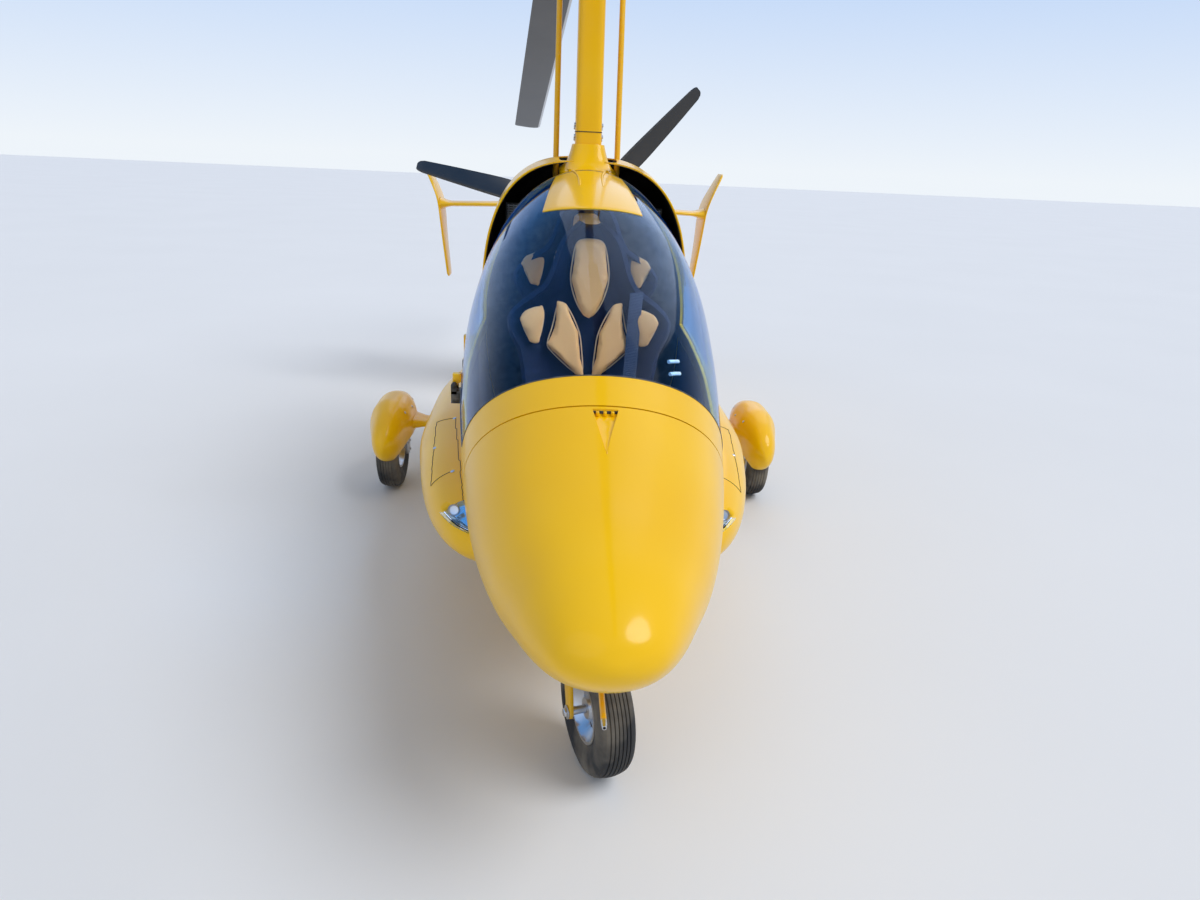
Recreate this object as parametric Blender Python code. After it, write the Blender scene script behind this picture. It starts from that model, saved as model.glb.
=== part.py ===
"""Enclosed tandem two-seat gyrocopter with a pusher propeller, parked on its three wheels.

Metres, +Z up. The nose points along -Y and the port side is +X. The origin is on the ground under the
rotor hub.
"""

import math

import bmesh
import bpy
from mathutils import Matrix, Vector

# Clearances
SEAT_GAP = 0.0003
PANEL_GAP = 0.005
GLASS_GAP = 0.0008
PIN = 0.005
PIN_CLEAR = 0.0006

# Fuselage shell
WALL = 0.012
CANOPY_WALL = 0.016
GLASS = 0.005
GLASS_SET = 0.001
ROOF_WALL = 0.0096
COWL_WALL = 0.008
CUT_REACH = 0.004
STATION_COUNT = 22
STATION_CROWD = 1.45
CAVITY_FIRST = 3

# Canopy edges
PANEL_LINE_Y = -1.80
PANEL_LINE_SWEEP = 0.21
CANOPY_REAR_Y = -0.395
SILL_FRONT_Z = 0.70
SILL_REAR_Z = 0.885
FRONT_STRIP = 0.100
SILL_STRIP = 0.055
REAR_HOOP = 0.022
ROOF_PANEL_FRONT_Y = -0.93
ROOF_PANEL_HALF = 0.165
ROOF_PANEL_REAR_HALF = 0.125
ROOF_PANEL_SWEEP = 0.055

# Canopy hinges on the starboard sill
CANOPY_HINGE_X = -0.452
CANOPY_HINGE_Z = 0.80
CANOPY_HINGE_FRONT_Y = -0.92
CANOPY_HINGE_REAR_Y = -0.55
HINGE_HALF = 0.030
HINGE_EAR = 0.015
HINGE_EAR_HALF = 0.010
HINGE_FOOT = 0.062
HINGE_PIN_HALF = 0.028
KNUCKLE_HALF = 0.013
KNUCKLE_RADIUS = 0.011
HINGE_ARM_LOW = 0.012
HINGE_ARM_HIGH = 0.034
HINGE_ARM_GRIP = 0.006

# Engine cowl
BULKHEAD = 0.012
BULKHEAD_Y = CANOPY_REAR_Y + PANEL_GAP
COWL_FRONT_Y = BULKHEAD_Y + BULKHEAD + SEAT_GAP
STERN_Y = 0.745
COWL_JOINT_FRONT_Z = SILL_REAR_Z
COWL_JOINT_REAR_Z = 0.66
COWL_ROWS = 10
GRILLE = 0.012
GRILLE_INSET = 0.004

# Engine and its cooling
ENGINE_HALF = 0.20
ENGINE_FRONT_Y = -0.17
ENGINE_REAR_Y = 0.45
ENGINE_LOW_Z = 0.86
ENGINE_HIGH_Z = 1.33
ENGINE_ROUNDING = 0.03
GEARBOX_RADIUS = 0.062
GEARBOX_NOSE = 0.050
ENGINE_MOUNT_HALF = 0.15
ENGINE_MOUNT_FRONT_Y = -0.05
ENGINE_MOUNT_REAR_Y = 0.35
RADIATOR_X = 0.33
RADIATOR_FRONT_Y = -0.06
RADIATOR_THICK = 0.04
RADIATOR_LOW_Z = 1.02
RADIATOR_HIGH_Z = 1.36

# Rotor
HUB_Z = 2.70
ROTOR_RADIUS = 4.20
ROTOR_TILT = math.radians(12.4)
ROTOR_YAW = math.radians(4.6)
SPINDLE = 0.016
BLADE_CHORD = 0.216
BLADE_THICK = 0.027
HUB_BAR_HALF = 0.34
HUB_BAR_WIDE = 0.036
HUB_BAR_THICK = 0.022
BLADE_ROOT = 0.20
BLADE_ROOT_SHARE = 0.55
BLADE_TAPER = 0.10

# Mast
MAST_BASE_Y = -0.23
MAST_BASE_Z = 1.50
MAST_TOP_Y = -0.035
MAST_TOP_Z = HUB_Z - 0.23
MAST_WIDTH = 0.104
MAST_DEPTH = 0.118
ROD_HALF_SPACING = 0.125
ROD_RADIUS = 0.0115
ROD_BEHIND = 0.115
ROD_BURIED = 0.03
CROSS_BAR_Y = 0.085
CROSS_BAR_Z = -0.19
CROSS_BAR_RADIUS = 0.014
FAIRING_HALF = 0.112
FAIRING_REAR_Y = -0.05
FAIRING_LOW_Z = 1.44
FAIRING_RISE = 0.10
FAIRING_COLLAR = 0.011

# Propeller
PROP_Y = 0.858
PROP_Z = 1.28
PROP_RADIUS = 0.862
PROP_PHASE = math.radians(47.0)
PROP_HUB_RADIUS = 0.075
PROP_HUB_FRONT = 0.055
PROP_SHAFT = 0.022

# Tail
BOOM_WIDTH = 0.070
BOOM_HEIGHT = 0.080
BOOM_BOTTOM_Z = 0.295
BOOM_FRONT_Y = 0.215
BOOM_END_Y = 2.40
SKID_LENGTH = 0.22
SKID_DROP = 0.09
SKID_THICK = 0.024
FIN_ROOT_FRONT_Y = 1.50
FIN_TOP_FRONT_Y = 1.86
FIN_TOP_Z = 1.52
FIN_THICK = 0.042
RUDDER_HINGE_Y = 2.13
RUDDER_CHORD = 0.30
RUDDER_BOTTOM_Z = 0.42
RUDDER_TOP_Z = 1.50
RUDDER_TOP_SHARE = 0.86
RUDDER_GAP = 0.028
RUDDER_LUGS = (0.60, 1.38)
LUG_THICK = 0.012
LUG_REACH = 0.009
LUG_ROOT = 0.030
LUG_PIN = 0.018
TAIL_SPAN_HALF = 0.885
TAIL_ROOT_Z = 1.272
TAIL_TIP_Z = 1.229
TAIL_ROOT_FRONT_Y = 1.74
TAIL_TIP_FRONT_Y = 2.05
TAIL_ROOT_CHORD = 0.36
TAIL_TIP_CHORD = 0.31
TAIL_THICK = 0.034
END_FIN_THICK = 0.024

# Wheels
MAIN_TYRE_RADIUS = 0.200
MAIN_TYRE_WIDTH = 0.102
MAIN_RIM_RADIUS = 0.105
MAIN_WHEEL_X = 0.877
MAIN_WHEEL_Y = 0.147
NOSE_TYRE_RADIUS = 0.180
NOSE_TYRE_WIDTH = 0.098
NOSE_RIM_RADIUS = 0.092
NOSE_WHEEL_Y = -1.858
NOSE_STEM_Y = -1.808
NOSE_STEER = math.radians(18.0)
FORK_HALF = 0.068
FORK_LEG = 0.012
FORK_CROWN = 0.022
CROWN_CLEAR = 0.014
FORK_FRONT = 0.026
FORK_REAR = 0.030
LEG_FOOT_HALF = 0.018
STEM_PIN = 0.012
STEM_RADIUS = 0.020
COLLAR_RADIUS = 0.036
COLLAR_CLEAR = 0.0015

# Pitot tube
PITOT_DROP = 0.006
PITOT_RADIUS = 0.0065
PITOT_ROOT_Y = -2.100
PITOT_TIP_Y = -2.310

# Gear bow and spats
BOW_CHORD = 0.115
BOW_THICK = 0.034
BOW_TIP_Z = 0.330
AXLE_PLATE_X = 0.806
AXLE_PLATE = 0.012
AXLE_RADIUS = 0.011
AXLE_CLEAR = 0.0008
SPAT_X = 0.865
SPAT_HALF = 0.100
SPAT_WALL = 0.012
SPAT_FRONT_Y = -0.165
SPAT_REAR_Y = 0.52
TYRE_CLEAR = 0.014
WELL_HALF = MAIN_TYRE_WIDTH / 2 + 0.010
SLANT_TOP_Z = 0.312
SLANT_REACH_X = 0.838
BOW_STRAIGHT_X = 0.45
BOW_ROUNDING = 0.008
AXLE_PLATE_HALF = 0.035
CUFF_INNER_X = 0.735
CUFF_HALF = 0.036
CUFF_FRONT = 0.10
CUFF_REAR = 0.15

# Cabin
FLOOR = 0.010
FLOOR_FRONT_Y = -1.95
FLOOR_Z = 0.46
SEAT_HALF = 0.205
SEAT_BASE_HALF = 0.13
FRONT_SEAT_Y = -1.02
REAR_SEAT_Y = -0.605
REAR_SEAT_LIFT = 0.06
FRONT_PAN = 0.40
REAR_PAN = 0.27
SEAT_SHELL = 0.022
PAD = 0.035
DASH_Y = -1.60
DASH_HALF = 0.19
DASH_TOP_Z = 0.93
DASH_DEPTH = 0.09
DASH_FACE = 0.15
DASH_HOOD = 0.02
DASH_FOOT_HALF = 0.07
STICK_Y = -1.475
STICK_HEIGHT = 0.32
STICK_RADIUS = 0.012

YELLOW = (0.92, 0.52, 0.0)
BLACK = (0.012, 0.012, 0.013)
DARK_GREY = (0.035, 0.036, 0.040)
TAN = (0.60, 0.36, 0.17)
NAVY = (0.012, 0.02, 0.05)
RUBBER = (0.02, 0.02, 0.02)
METAL = (0.55, 0.56, 0.58)
BLUE_GLASS = (0.03, 0.14, 0.42)

# Fuselage sections from nose to stern. Columns: y, half width, widest height, roof height, belly height,
# roundness of the upper half, roundness of the lower half (2 is an ellipse, more is fuller).
SECTION_COLUMNS = ("y", "half", "waist", "roof", "belly", "upper", "lower")
SECTIONS = (
    (-2.425, 0.012, 0.672, 0.682, 0.662, 2.0, 2.0),
    (-2.412, 0.062, 0.670, 0.712, 0.632, 2.0, 2.0),
    (-2.380, 0.108, 0.668, 0.742, 0.596, 2.0, 2.0),
    (-2.290, 0.160, 0.664, 0.790, 0.537, 2.0, 2.1),
    (-2.185, 0.203, 0.662, 0.831, 0.492, 2.0, 2.1),
    (-2.050, 0.254, 0.664, 0.882, 0.457, 2.05, 2.2),
    (-1.880, 0.302, 0.674, 0.954, 0.432, 2.1, 2.2),
    (-1.700, 0.338, 0.695, 1.039, 0.414, 2.1, 2.3),
    (-1.420, 0.378, 0.738, 1.184, 0.386, 2.15, 2.4),
    (-1.150, 0.407, 0.790, 1.306, 0.364, 2.15, 2.5),
    (-0.850, 0.424, 0.850, 1.422, 0.348, 2.1, 2.6),
    (-0.600, 0.418, 0.905, 1.480, 0.338, 2.05, 2.6),
    (-0.395, 0.404, 0.950, 1.508, 0.335, 2.0, 2.6),
    (-0.150, 0.408, 0.985, 1.528, 0.335, 2.0, 2.6),
    (0.150, 0.388, 1.015, 1.538, 0.335, 2.0, 2.5),
    (0.400, 0.345, 1.040, 1.540, 0.335, 2.0, 2.5),
    (0.600, 0.268, 1.065, 1.540, 0.336, 2.0, 2.4),
    (0.760, 0.190, 1.100, 1.540, 0.340, 2.0, 2.3),
)

# The cowl's own crown height and roundness, from its lip to the stern.
COWL_COLUMNS = ("y", "roof", "upper")
COWL_SECTIONS = (
    (-0.395, 1.538, 2.8),
    (-0.150, 1.558, 2.8),
    (0.150, 1.552, 2.7),
    (0.400, 1.524, 2.6),
    (0.600, 1.480, 2.5),
    (0.760, 1.430, 2.4),
)

# Sponson sections. Columns: y, outer x, top z, bottom z.
SPONSON_COLUMNS = ("y", "outer", "top", "bottom")
SPONSON_SECTIONS = (
    (-1.560, 0.330, 0.560, 0.470),
    (-1.500, 0.400, 0.600, 0.432),
    (-1.400, 0.460, 0.632, 0.408),
    (-1.250, 0.512, 0.664, 0.388),
    (-1.050, 0.556, 0.694, 0.376),
    (-0.750, 0.596, 0.722, 0.366),
    (-0.350, 0.602, 0.728, 0.362),
    (0.050, 0.570, 0.706, 0.364),
    (0.350, 0.490, 0.650, 0.380),
    (0.560, 0.380, 0.580, 0.410),
)
# Seat profile from the front of the pan to the head. Columns: y (a share of the pan where below 0), height.
SEAT_PROFILE = (
    (-1.00, 0.175), (-0.72, 0.215), (-0.30, 0.170), (-0.05, 0.180),
    (0.045, 0.300), (0.110, 0.520), (0.150, 0.720), (0.170, 0.860),
)
# Width of the seat at each row of its profile, as a share of its full width.
SEAT_TAPER = (1.0, 1.0, 1.0, 1.0, 1.0, 1.02, 0.80, 0.34)

# End fin sections past the tailplane's tip. Columns: x, z and leading edge from the tip's own, chord
END_FIN_SECTIONS = (
    (-0.042, -0.481, 0.070, 0.200),
    (-0.017, -0.209, 0.010, 0.270),
    (-0.001, -0.029, -0.020, 0.335),
    (0.009, 0.031, -0.020, 0.335),
    (0.121, 0.264, 0.110, 0.200),
)

# Propeller blade. Columns: radius as a share of the propeller's, chord, pitch in degrees, thickness
PROP_SECTIONS = (
    (0.064, 0.052, 62.0, 0.040),
    (0.139, 0.060, 52.0, 0.034),
    (0.232, 0.105, 40.0, 0.024),
    (0.418, 0.112, 28.0, 0.018),
    (0.696, 0.090, 19.0, 0.012),
    (1.000, 0.058, 14.0, 0.007),
)

# Spat sections. Columns: share of the length, half width, top z, bottom z
SPAT_COLUMNS = ("share", "half", "top", "bottom")
SPAT_SECTIONS = (
    (0.00, 0.008, 0.300, 0.272),
    (0.03, 0.036, 0.345, 0.236),
    (0.10, 0.060, 0.390, 0.206),
    (0.22, 0.079, 0.430, 0.186),
    (0.36, SPAT_HALF, 0.453, 0.180),
    (0.52, SPAT_HALF, 0.455, 0.185),
    (0.68, 0.077, 0.432, 0.205),
    (0.84, 0.050, 0.385, 0.240),
    (0.95, 0.022, 0.342, 0.275),
    (1.00, 0.006, 0.322, 0.298),
)

# Mast fairing above its base. Columns: share of its height, share of the way from the foot out to the edge
FAIRING_SECTIONS = ((0.0, 1.0), (0.06, 0.80), (0.25, 0.45), (0.6, 0.18), (1.0, 0.0))

SPONSON_ROOT_X = 0.26
SPONSON_ROUNDNESS = 2.3
SPONSON_DROP = 0.02

# Landing light in the upper nose of each sponson
LIGHT_REAR_Y = -1.437
LIGHT_REAR_Z = 0.546
LIGHT_FRONT_Y = -1.600
LIGHT_FRONT_Z = 0.524
LIGHT_TOP_Z = 0.800
LIGHT_GAP = 0.0005


def clear_scene():
    for item in list(bpy.data.objects):
        bpy.data.objects.remove(item)


def paint(name, colour, roughness, metallic=0.0, alpha=1.0):
    material = bpy.data.materials.get(name)
    if material:
        return material
    material = bpy.data.materials.new(name)
    material.use_nodes = True
    shader = material.node_tree.nodes["Principled BSDF"]
    shader.inputs["Base Color"].default_value = (*colour, 1.0)
    shader.inputs["Roughness"].default_value = roughness
    shader.inputs["Metallic"].default_value = metallic
    shader.inputs["Alpha"].default_value = alpha
    return material


def pivot(name, location, axis=(0, 0, 1)):
    """An empty on a joint's axis, its own Z along that axis."""
    empty = bpy.data.objects.new(name, None)
    bpy.context.scene.collection.objects.link(empty)
    empty.location = location
    empty.rotation_euler = Vector((0, 0, 1)).rotation_difference(Vector(axis)).to_euler()
    bpy.context.view_layer.update()
    return empty


def make(name, vertices, faces, material, parent=None, sharp=35.0):
    """A named object from points and faces given in world places."""
    mesh = bpy.data.meshes.new(name)
    mesh.from_pydata([tuple(v) for v in vertices], [], faces)
    shape = bmesh.new()
    shape.from_mesh(mesh)
    bmesh.ops.remove_doubles(shape, verts=shape.verts, dist=1e-6)
    bmesh.ops.recalc_face_normals(shape, faces=shape.faces)
    shape.to_mesh(mesh)
    shape.free()
    mesh.shade_smooth()
    mesh.set_sharp_from_angle(angle=math.radians(sharp))
    piece = bpy.data.objects.new(name, mesh)
    bpy.context.scene.collection.objects.link(piece)
    if material:
        mesh.materials.append(material)
    if parent:
        piece.parent = parent
        piece.matrix_parent_inverse = parent.matrix_world.inverted()
    return piece


def settle(piece):
    """Applies every modifier of a piece."""
    bpy.context.view_layer.update()
    graph = bpy.context.evaluated_depsgraph_get()
    mesh = bpy.data.meshes.new_from_object(piece.evaluated_get(graph))
    piece.modifiers.clear()
    piece.data = mesh
    return piece


def combine(piece, other, operation="DIFFERENCE", keep=False):
    """Cuts, joins or intersects a piece with another one, which is then removed unless kept."""
    cut = piece.modifiers.new("cut", "BOOLEAN")
    cut.operation = operation
    cut.solver = "EXACT"
    cut.object = other
    settle(piece)
    if not keep:
        bpy.data.objects.remove(other)
    return piece


def chamfer(piece, width, segments=1, angle=40.0):
    edge = piece.modifiers.new("edges", "BEVEL")
    edge.width = width
    edge.segments = segments
    edge.limit_method = "ANGLE"
    edge.angle_limit = math.radians(angle)
    return settle(piece)


def loft(name, rings, material, parent=None, sharp=35.0, split=False):
    """A closed solid through rings of equal count, with flat ends; split lays every diagonal the same way."""
    count = len(rings[0])
    points = [p for ring in rings for p in ring]
    faces = []
    for i in range(len(rings) - 1):
        for j in range(count):
            k = (j + 1) % count
            a, b, c, d = i * count + j, i * count + k, (i + 1) * count + k, (i + 1) * count + j
            faces += [(a, b, c), (a, c, d)] if split else [(a, b, c, d)]
    faces.append(tuple(range(count)))
    last = (len(rings) - 1) * count
    faces.append(tuple(last + j for j in reversed(range(count))))
    return make(name, points, faces, material, parent, sharp)


def panel(name, outer, inner, material, parent=None, sharp=35.0):
    """A closed sheet between two equal grids of points."""
    rows, cols = len(outer), len(outer[0])
    points = [p for row in outer for p in row] + [p for row in inner for p in row]
    base = rows * cols
    faces = []
    for i in range(rows - 1):
        for j in range(cols - 1):
            a, b = i * cols + j, i * cols + j + 1
            c, d = (i + 1) * cols + j + 1, (i + 1) * cols + j
            faces += [(a, b, c), (a, c, d)]
            faces += [(base + c, base + b, base + a), (base + d, base + c, base + a)]
    rim = [j for j in range(cols)]
    rim += [i * cols + cols - 1 for i in range(1, rows)]
    rim += [(rows - 1) * cols + j for j in range(cols - 2, -1, -1)]
    rim += [i * cols for i in range(rows - 2, 0, -1)]
    for n, a in enumerate(rim):
        b = rim[(n + 1) % len(rim)]
        faces += [(b, a, base + a), (b, base + a, base + b)]
    return make(name, points, faces, material, parent, sharp)


def extrude(name, outline, start, end, material, axis="X"):
    """A prism of an outline in the two other axes, from start to end along one axis."""
    place = {
        "X": lambda u, v, w: (w, u, v),
        "Y": lambda u, v, w: (u, w, v),
        "Z": lambda u, v, w: (u, v, w),
    }[axis]
    rings = [[place(u, v, w) for u, v in outline] for w in (start, end)]
    return loft(name, rings, material)


def box(name, low, high, material=None):
    outline = [(low[0], low[1]), (high[0], low[1]), (high[0], high[1]), (low[0], high[1])]
    return extrude(name, outline, low[2], high[2], material, "Z")


def turn(name, profile, centre, axis, steps, material, parent=None, closed=True, sharp=35.0):
    """A solid turned about an axis; profile points are (radius, distance along the axis)."""
    frame = Vector((0, 0, 1)).rotation_difference(Vector(axis)).to_matrix()
    centre = Vector(centre)
    points, faces = [], []
    size = len(profile)
    for k in range(steps):
        angle = 2 * math.pi * k / steps
        for radius, along in profile:
            spoke = (radius * math.cos(angle), radius * math.sin(angle), along)
            points.append(centre + frame @ Vector(spoke))
    for k in range(steps):
        m = (k + 1) % steps
        last = size if closed else size - 1
        for j in range(last):
            n = (j + 1) % size
            corner = [k * size + j, m * size + j, m * size + n, k * size + n]
            if profile[j][0] < 1e-9:
                corner = [k * size + j, m * size + n, k * size + n]
            elif profile[n][0] < 1e-9:
                corner = [k * size + j, m * size + j, k * size + n]
            faces.append(tuple(corner))
    return make(name, points, faces, material, parent, sharp)


def rod(name, path, radius, sides, material):
    """A round bar along a path of points."""
    path = [Vector(p) for p in path]
    rings = []
    up = Vector((1, 0, 0))
    for i, point in enumerate(path):
        ahead = path[min(i + 1, len(path) - 1)] - path[max(i - 1, 0)]
        ahead.normalize()
        side = (up - ahead * up.dot(ahead)).normalized()
        other = ahead.cross(side)
        rings.append(
            [
                point + radius * (math.cos(a) * side + math.sin(a) * other)
                for a in (2 * math.pi * k / sides for k in range(sides))
            ]
        )
    return loft(name, rings, material)


def smooth_value(table, columns, column, y):
    """A smooth curve through one column of a table, with no overshoot between its rows."""
    xs = [row[0] for row in table]
    vs = [row[columns.index(column)] for row in table]
    y = min(max(y, xs[0]), xs[-1])
    slopes = [(vs[i + 1] - vs[i]) / (xs[i + 1] - xs[i]) for i in range(len(xs) - 1)]
    tangents = [slopes[0]]
    for a, b in zip(slopes, slopes[1:]):
        tangents.append(0.0 if a * b <= 0 else 2 * a * b / (a + b))
    tangents.append(slopes[-1])
    i = max(k for k in range(len(xs) - 1) if xs[k] <= y or k == 0)
    h = xs[i + 1] - xs[i]
    t = (y - xs[i]) / h
    return (
        (2 * t**3 - 3 * t**2 + 1) * vs[i]
        + (t**3 - 2 * t**2 + t) * h * tangents[i]
        + (-2 * t**3 + 3 * t**2) * vs[i + 1]
        + (t**3 - t**2) * h * tangents[i + 1]
    )


def section(y, cowl=False):
    """Half width, waist, roof, belly, upper and lower roundness of the fuselage at y."""
    values = {c: smooth_value(SECTIONS, SECTION_COLUMNS, c, y) for c in SECTION_COLUMNS[1:]}
    if cowl:
        for c in COWL_COLUMNS[1:]:
            values[c] = smooth_value(COWL_SECTIONS, COWL_COLUMNS, c, y)
    return values


def shell_point(y, around, inset=0.0, cowl=False):
    """A point of the fuselage; around is 0 on the crown, 1 at the waist, 2 on the keel, < 0 to starboard."""
    s = section(y, cowl)
    side = -1.0 if around < 0 else 1.0
    around = abs(around)
    half = max(s["half"] - inset, 0.002)
    if around <= 1:
        angle = around * math.pi / 2
        power = 2 / s["upper"]
        height = s["waist"] + max(s["roof"] - s["waist"] - inset, 0.002) * max(math.cos(angle), 0.0) ** power
    else:
        angle = (2 - around) * math.pi / 2
        power = 2 / s["lower"]
        height = s["waist"] - max(s["waist"] - s["belly"] - inset, 0.002) * max(math.cos(angle), 0.0) ** power
    return (side * half * max(math.sin(angle), 0.0) ** power, y, height)


def around_at(y, z, cowl=False):
    """The shell parameter at which the section at y has height z."""
    s = section(y, cowl)
    if z >= s["waist"]:
        share = min(max((z - s["waist"]) / (s["roof"] - s["waist"]), 0.0), 1.0)
        return 2 / math.pi * math.acos(share ** (s["upper"] / 2))
    share = min((s["waist"] - z) / (s["waist"] - s["belly"]), 1.0)
    return 2 - 2 / math.pi * math.acos(share ** (s["lower"] / 2))


def around_at_x(y, x, cowl=False):
    """The shell parameter on the upper half at which the section at y has half width x."""
    s = section(y, cowl)
    share = min(max(x / s["half"], 0.0), 1.0)
    return 2 / math.pi * math.asin(share ** (s["upper"] / 2))


def line(y, y0, v0, y1, v1):
    share = min(max((y - y0) / (y1 - y0), 0.0), 1.0)
    return v0 + (v1 - v0) * share


def sill_z(y):
    return line(y, PANEL_LINE_Y + PANEL_LINE_SWEEP, SILL_FRONT_Z, CANOPY_REAR_Y, SILL_REAR_Z)


def joint_z(y):
    return line(y, COWL_FRONT_Y, COWL_JOINT_FRONT_Z, STERN_Y, COWL_JOINT_REAR_Z)


def spaced(low, high, count):
    return [low + (high - low) * i / count for i in range(count + 1)]


def canopy_grid(inset, grow=0.0, strip=(0.0, 0.0, 0.0), rows=12, cols=16):
    """Points of the canopy surface. strip holds back the front, sill and rear edges by widths in metres."""
    front, sill, rear = strip
    grid = []
    for s in spaced(0.0, 1.0, rows):
        row = []
        for t in spaced(-1.0, 1.0, cols):
            start = PANEL_LINE_Y + PANEL_LINE_SWEEP * t * t - grow + front
            end = CANOPY_REAR_Y + grow - rear
            y = start + (end - start) * s
            edge = around_at(y, sill_z(y) - grow + sill)
            row.append(shell_point(y, t * edge, inset))
        grid.append(row)
    return grid


def roof_grid(inset, margin=0.0, rows=6, cols=8):
    """Points of the painted roof panel between the two glass sides."""
    grid = []
    for s in spaced(0.0, 1.0, rows):
        row = []
        for t in spaced(-1.0, 1.0, cols):
            start = ROOF_PANEL_FRONT_Y + ROOF_PANEL_SWEEP * t * t - margin
            end = CANOPY_REAR_Y - REAR_HOOP - SEAT_GAP + margin
            y = start + (end - start) * s
            half = ROOF_PANEL_HALF + (ROOF_PANEL_REAR_HALF - ROOF_PANEL_HALF) * s + margin
            row.append(shell_point(y, t * around_at_x(y, half), inset))
        grid.append(row)
    return grid


def stations():
    """Places of the fuselage's rings, close together at the nose."""
    nose = SECTIONS[0][0]
    return [nose + (STERN_Y - nose) * (i / STATION_COUNT) ** STATION_CROWD for i in range(STATION_COUNT + 1)]


def fuselage_solid(name, inset, first=0, past=0.0, around=24):
    """The whole fuselage as a plain solid moved in by inset, from ring first to past the stern."""
    rings = []
    for y in stations()[first:]:
        rings.append([shell_point(y, 2.0 - 4.0 * j / around, inset) for j in range(around)])
    if past:
        rings.append([(x, y + past, z) for x, y, z in rings[-1]])
    return loft(name, rings, None, split=True)


def build_fuselage(yellow):
    """Nose and tub in one moulding, open above for the canopy and the engine cowl."""
    tub = fuselage_solid("fuselage_tub", 0.0)
    tub.data.materials.append(yellow)
    combine(tub, fuselage_solid("tub_inside", WALL, CAVITY_FIRST, 0.03))
    reach = 2 * WALL
    combine(tub, panel("canopy_cut", canopy_grid(-WALL, PANEL_GAP), canopy_grid(reach, PANEL_GAP), None))
    top = []
    for inset in (-WALL, reach):
        grid = []
        for y in [BULKHEAD_Y - 2 * PANEL_GAP] + spaced(COWL_FRONT_Y, STERN_Y, COWL_ROWS) + [STERN_Y + 0.05]:
            inside = min(y, STERN_Y)
            edge = around_at(inside, joint_z(inside))
            row = [shell_point(inside, j, inset) for j in spaced(-edge, edge, 12)]
            grid.append([(x, y, z) for x, _, z in row])
        top.append(grid)
    combine(tub, panel("cowl_cut", top[0], top[1], None))
    return tub


def build_canopy(yellow, glass, hinge):
    """Hinged canopy: a frame, the blown glass in it and the painted roof panel."""
    strip = (FRONT_STRIP, SILL_STRIP, REAR_HOOP)
    frame = panel("canopy_frame", canopy_grid(0.0), canopy_grid(CANOPY_WALL), yellow, hinge)
    through = CANOPY_WALL + CUT_REACH
    window = panel("window_cut", canopy_grid(-CUT_REACH, 0, strip), canopy_grid(through, 0, strip), None)
    combine(frame, window)
    held = tuple(s + GLASS_GAP for s in strip)
    inside = GLASS_SET + GLASS
    pane = panel("canopy_glass", canopy_grid(GLASS_SET, 0, held), canopy_grid(inside, 0, held), glass, hinge)
    margin = 2 * SEAT_GAP
    combine(pane, panel("roof_cut", roof_grid(-CUT_REACH, margin), roof_grid(through, margin), None))
    panel("canopy_roof", roof_grid(0.0), roof_grid(ROOF_WALL), yellow, hinge)
    return frame


def round_pin(name, radius, half, centre, axis=(0, 1, 0)):
    profile = [(0, -half), (radius, -half), (radius, half), (0, half)]
    return turn(name, profile, centre, axis, 12, None, closed=False)


def build_hinges(black, frame):
    """Two external hinges: a bracket with its pin on the tub, and a knuckle with its arm on the canopy."""
    x, z = CANOPY_HINGE_X, CANOPY_HINGE_Z
    for word, y in (("front", CANOPY_HINGE_FRONT_Y), ("rear", CANOPY_HINGE_REAR_Y)):
        low = (x - HINGE_EAR_HALF, y - HINGE_HALF, z - HINGE_FOOT)
        high = (x / 2, y + HINGE_HALF, z - 2 * HINGE_EAR_HALF)
        bracket = box("canopy_bracket_" + word, low, high, black)
        for side in (-1, 1):
            y0, y1 = sorted((y + side * HINGE_EAR, y + side * HINGE_HALF))
            ear_low = (x - HINGE_EAR_HALF, y0, z - HINGE_FOOT / 2)
            combine(bracket, box("ear", ear_low, (x + HINGE_EAR_HALF, y1, z + HINGE_EAR_HALF)), "UNION")
        combine(bracket, round_pin("pin", PIN, HINGE_PIN_HALF, (x, y, z)), "UNION")
        combine(bracket, fuselage_solid("wall_clear", -SEAT_GAP))
        knuckle = round_pin("knuckle", KNUCKLE_RADIUS, KNUCKLE_HALF, (x, y, z))
        foot, top = sill_z(y) + HINGE_ARM_LOW, sill_z(y) + HINGE_ARM_HIGH
        wall = -shell_point(y, around_at(y, foot))[0]
        outer, inner = wall + HINGE_ARM_GRIP, wall - HINGE_ARM_GRIP
        half = KNUCKLE_RADIUS / 2
        arm = [(x - half, z), (x + half, z), (inner, foot), (outer, foot), (outer, top), (x - half, top)]
        combine(knuckle, extrude("arm", arm, y - KNUCKLE_HALF, y + KNUCKLE_HALF, None, "Y"), "UNION")
        combine(knuckle, round_pin("hole", PIN + PIN_CLEAR, 2 * HINGE_HALF, (x, y, z)))
        combine(frame, knuckle, "UNION")


def cowl_grid(inset, front, rear, rows=COWL_ROWS, cols=16):
    grid = []
    for y in spaced(front, rear, rows):
        edge = around_at(y, joint_z(y) + SEAT_GAP + 0.001, True)
        grid.append([shell_point(y, a, inset, True) for a in spaced(-edge, edge, cols)])
    return grid


def build_cowl(yellow):
    """Cowl whose front lip stands above the canopy, so that an intake opens on each shoulder."""
    outer = cowl_grid(0.0, COWL_FRONT_Y, STERN_Y)
    return panel("engine_cowl", outer, cowl_grid(COWL_WALL, COWL_FRONT_Y, STERN_Y), yellow)


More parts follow.
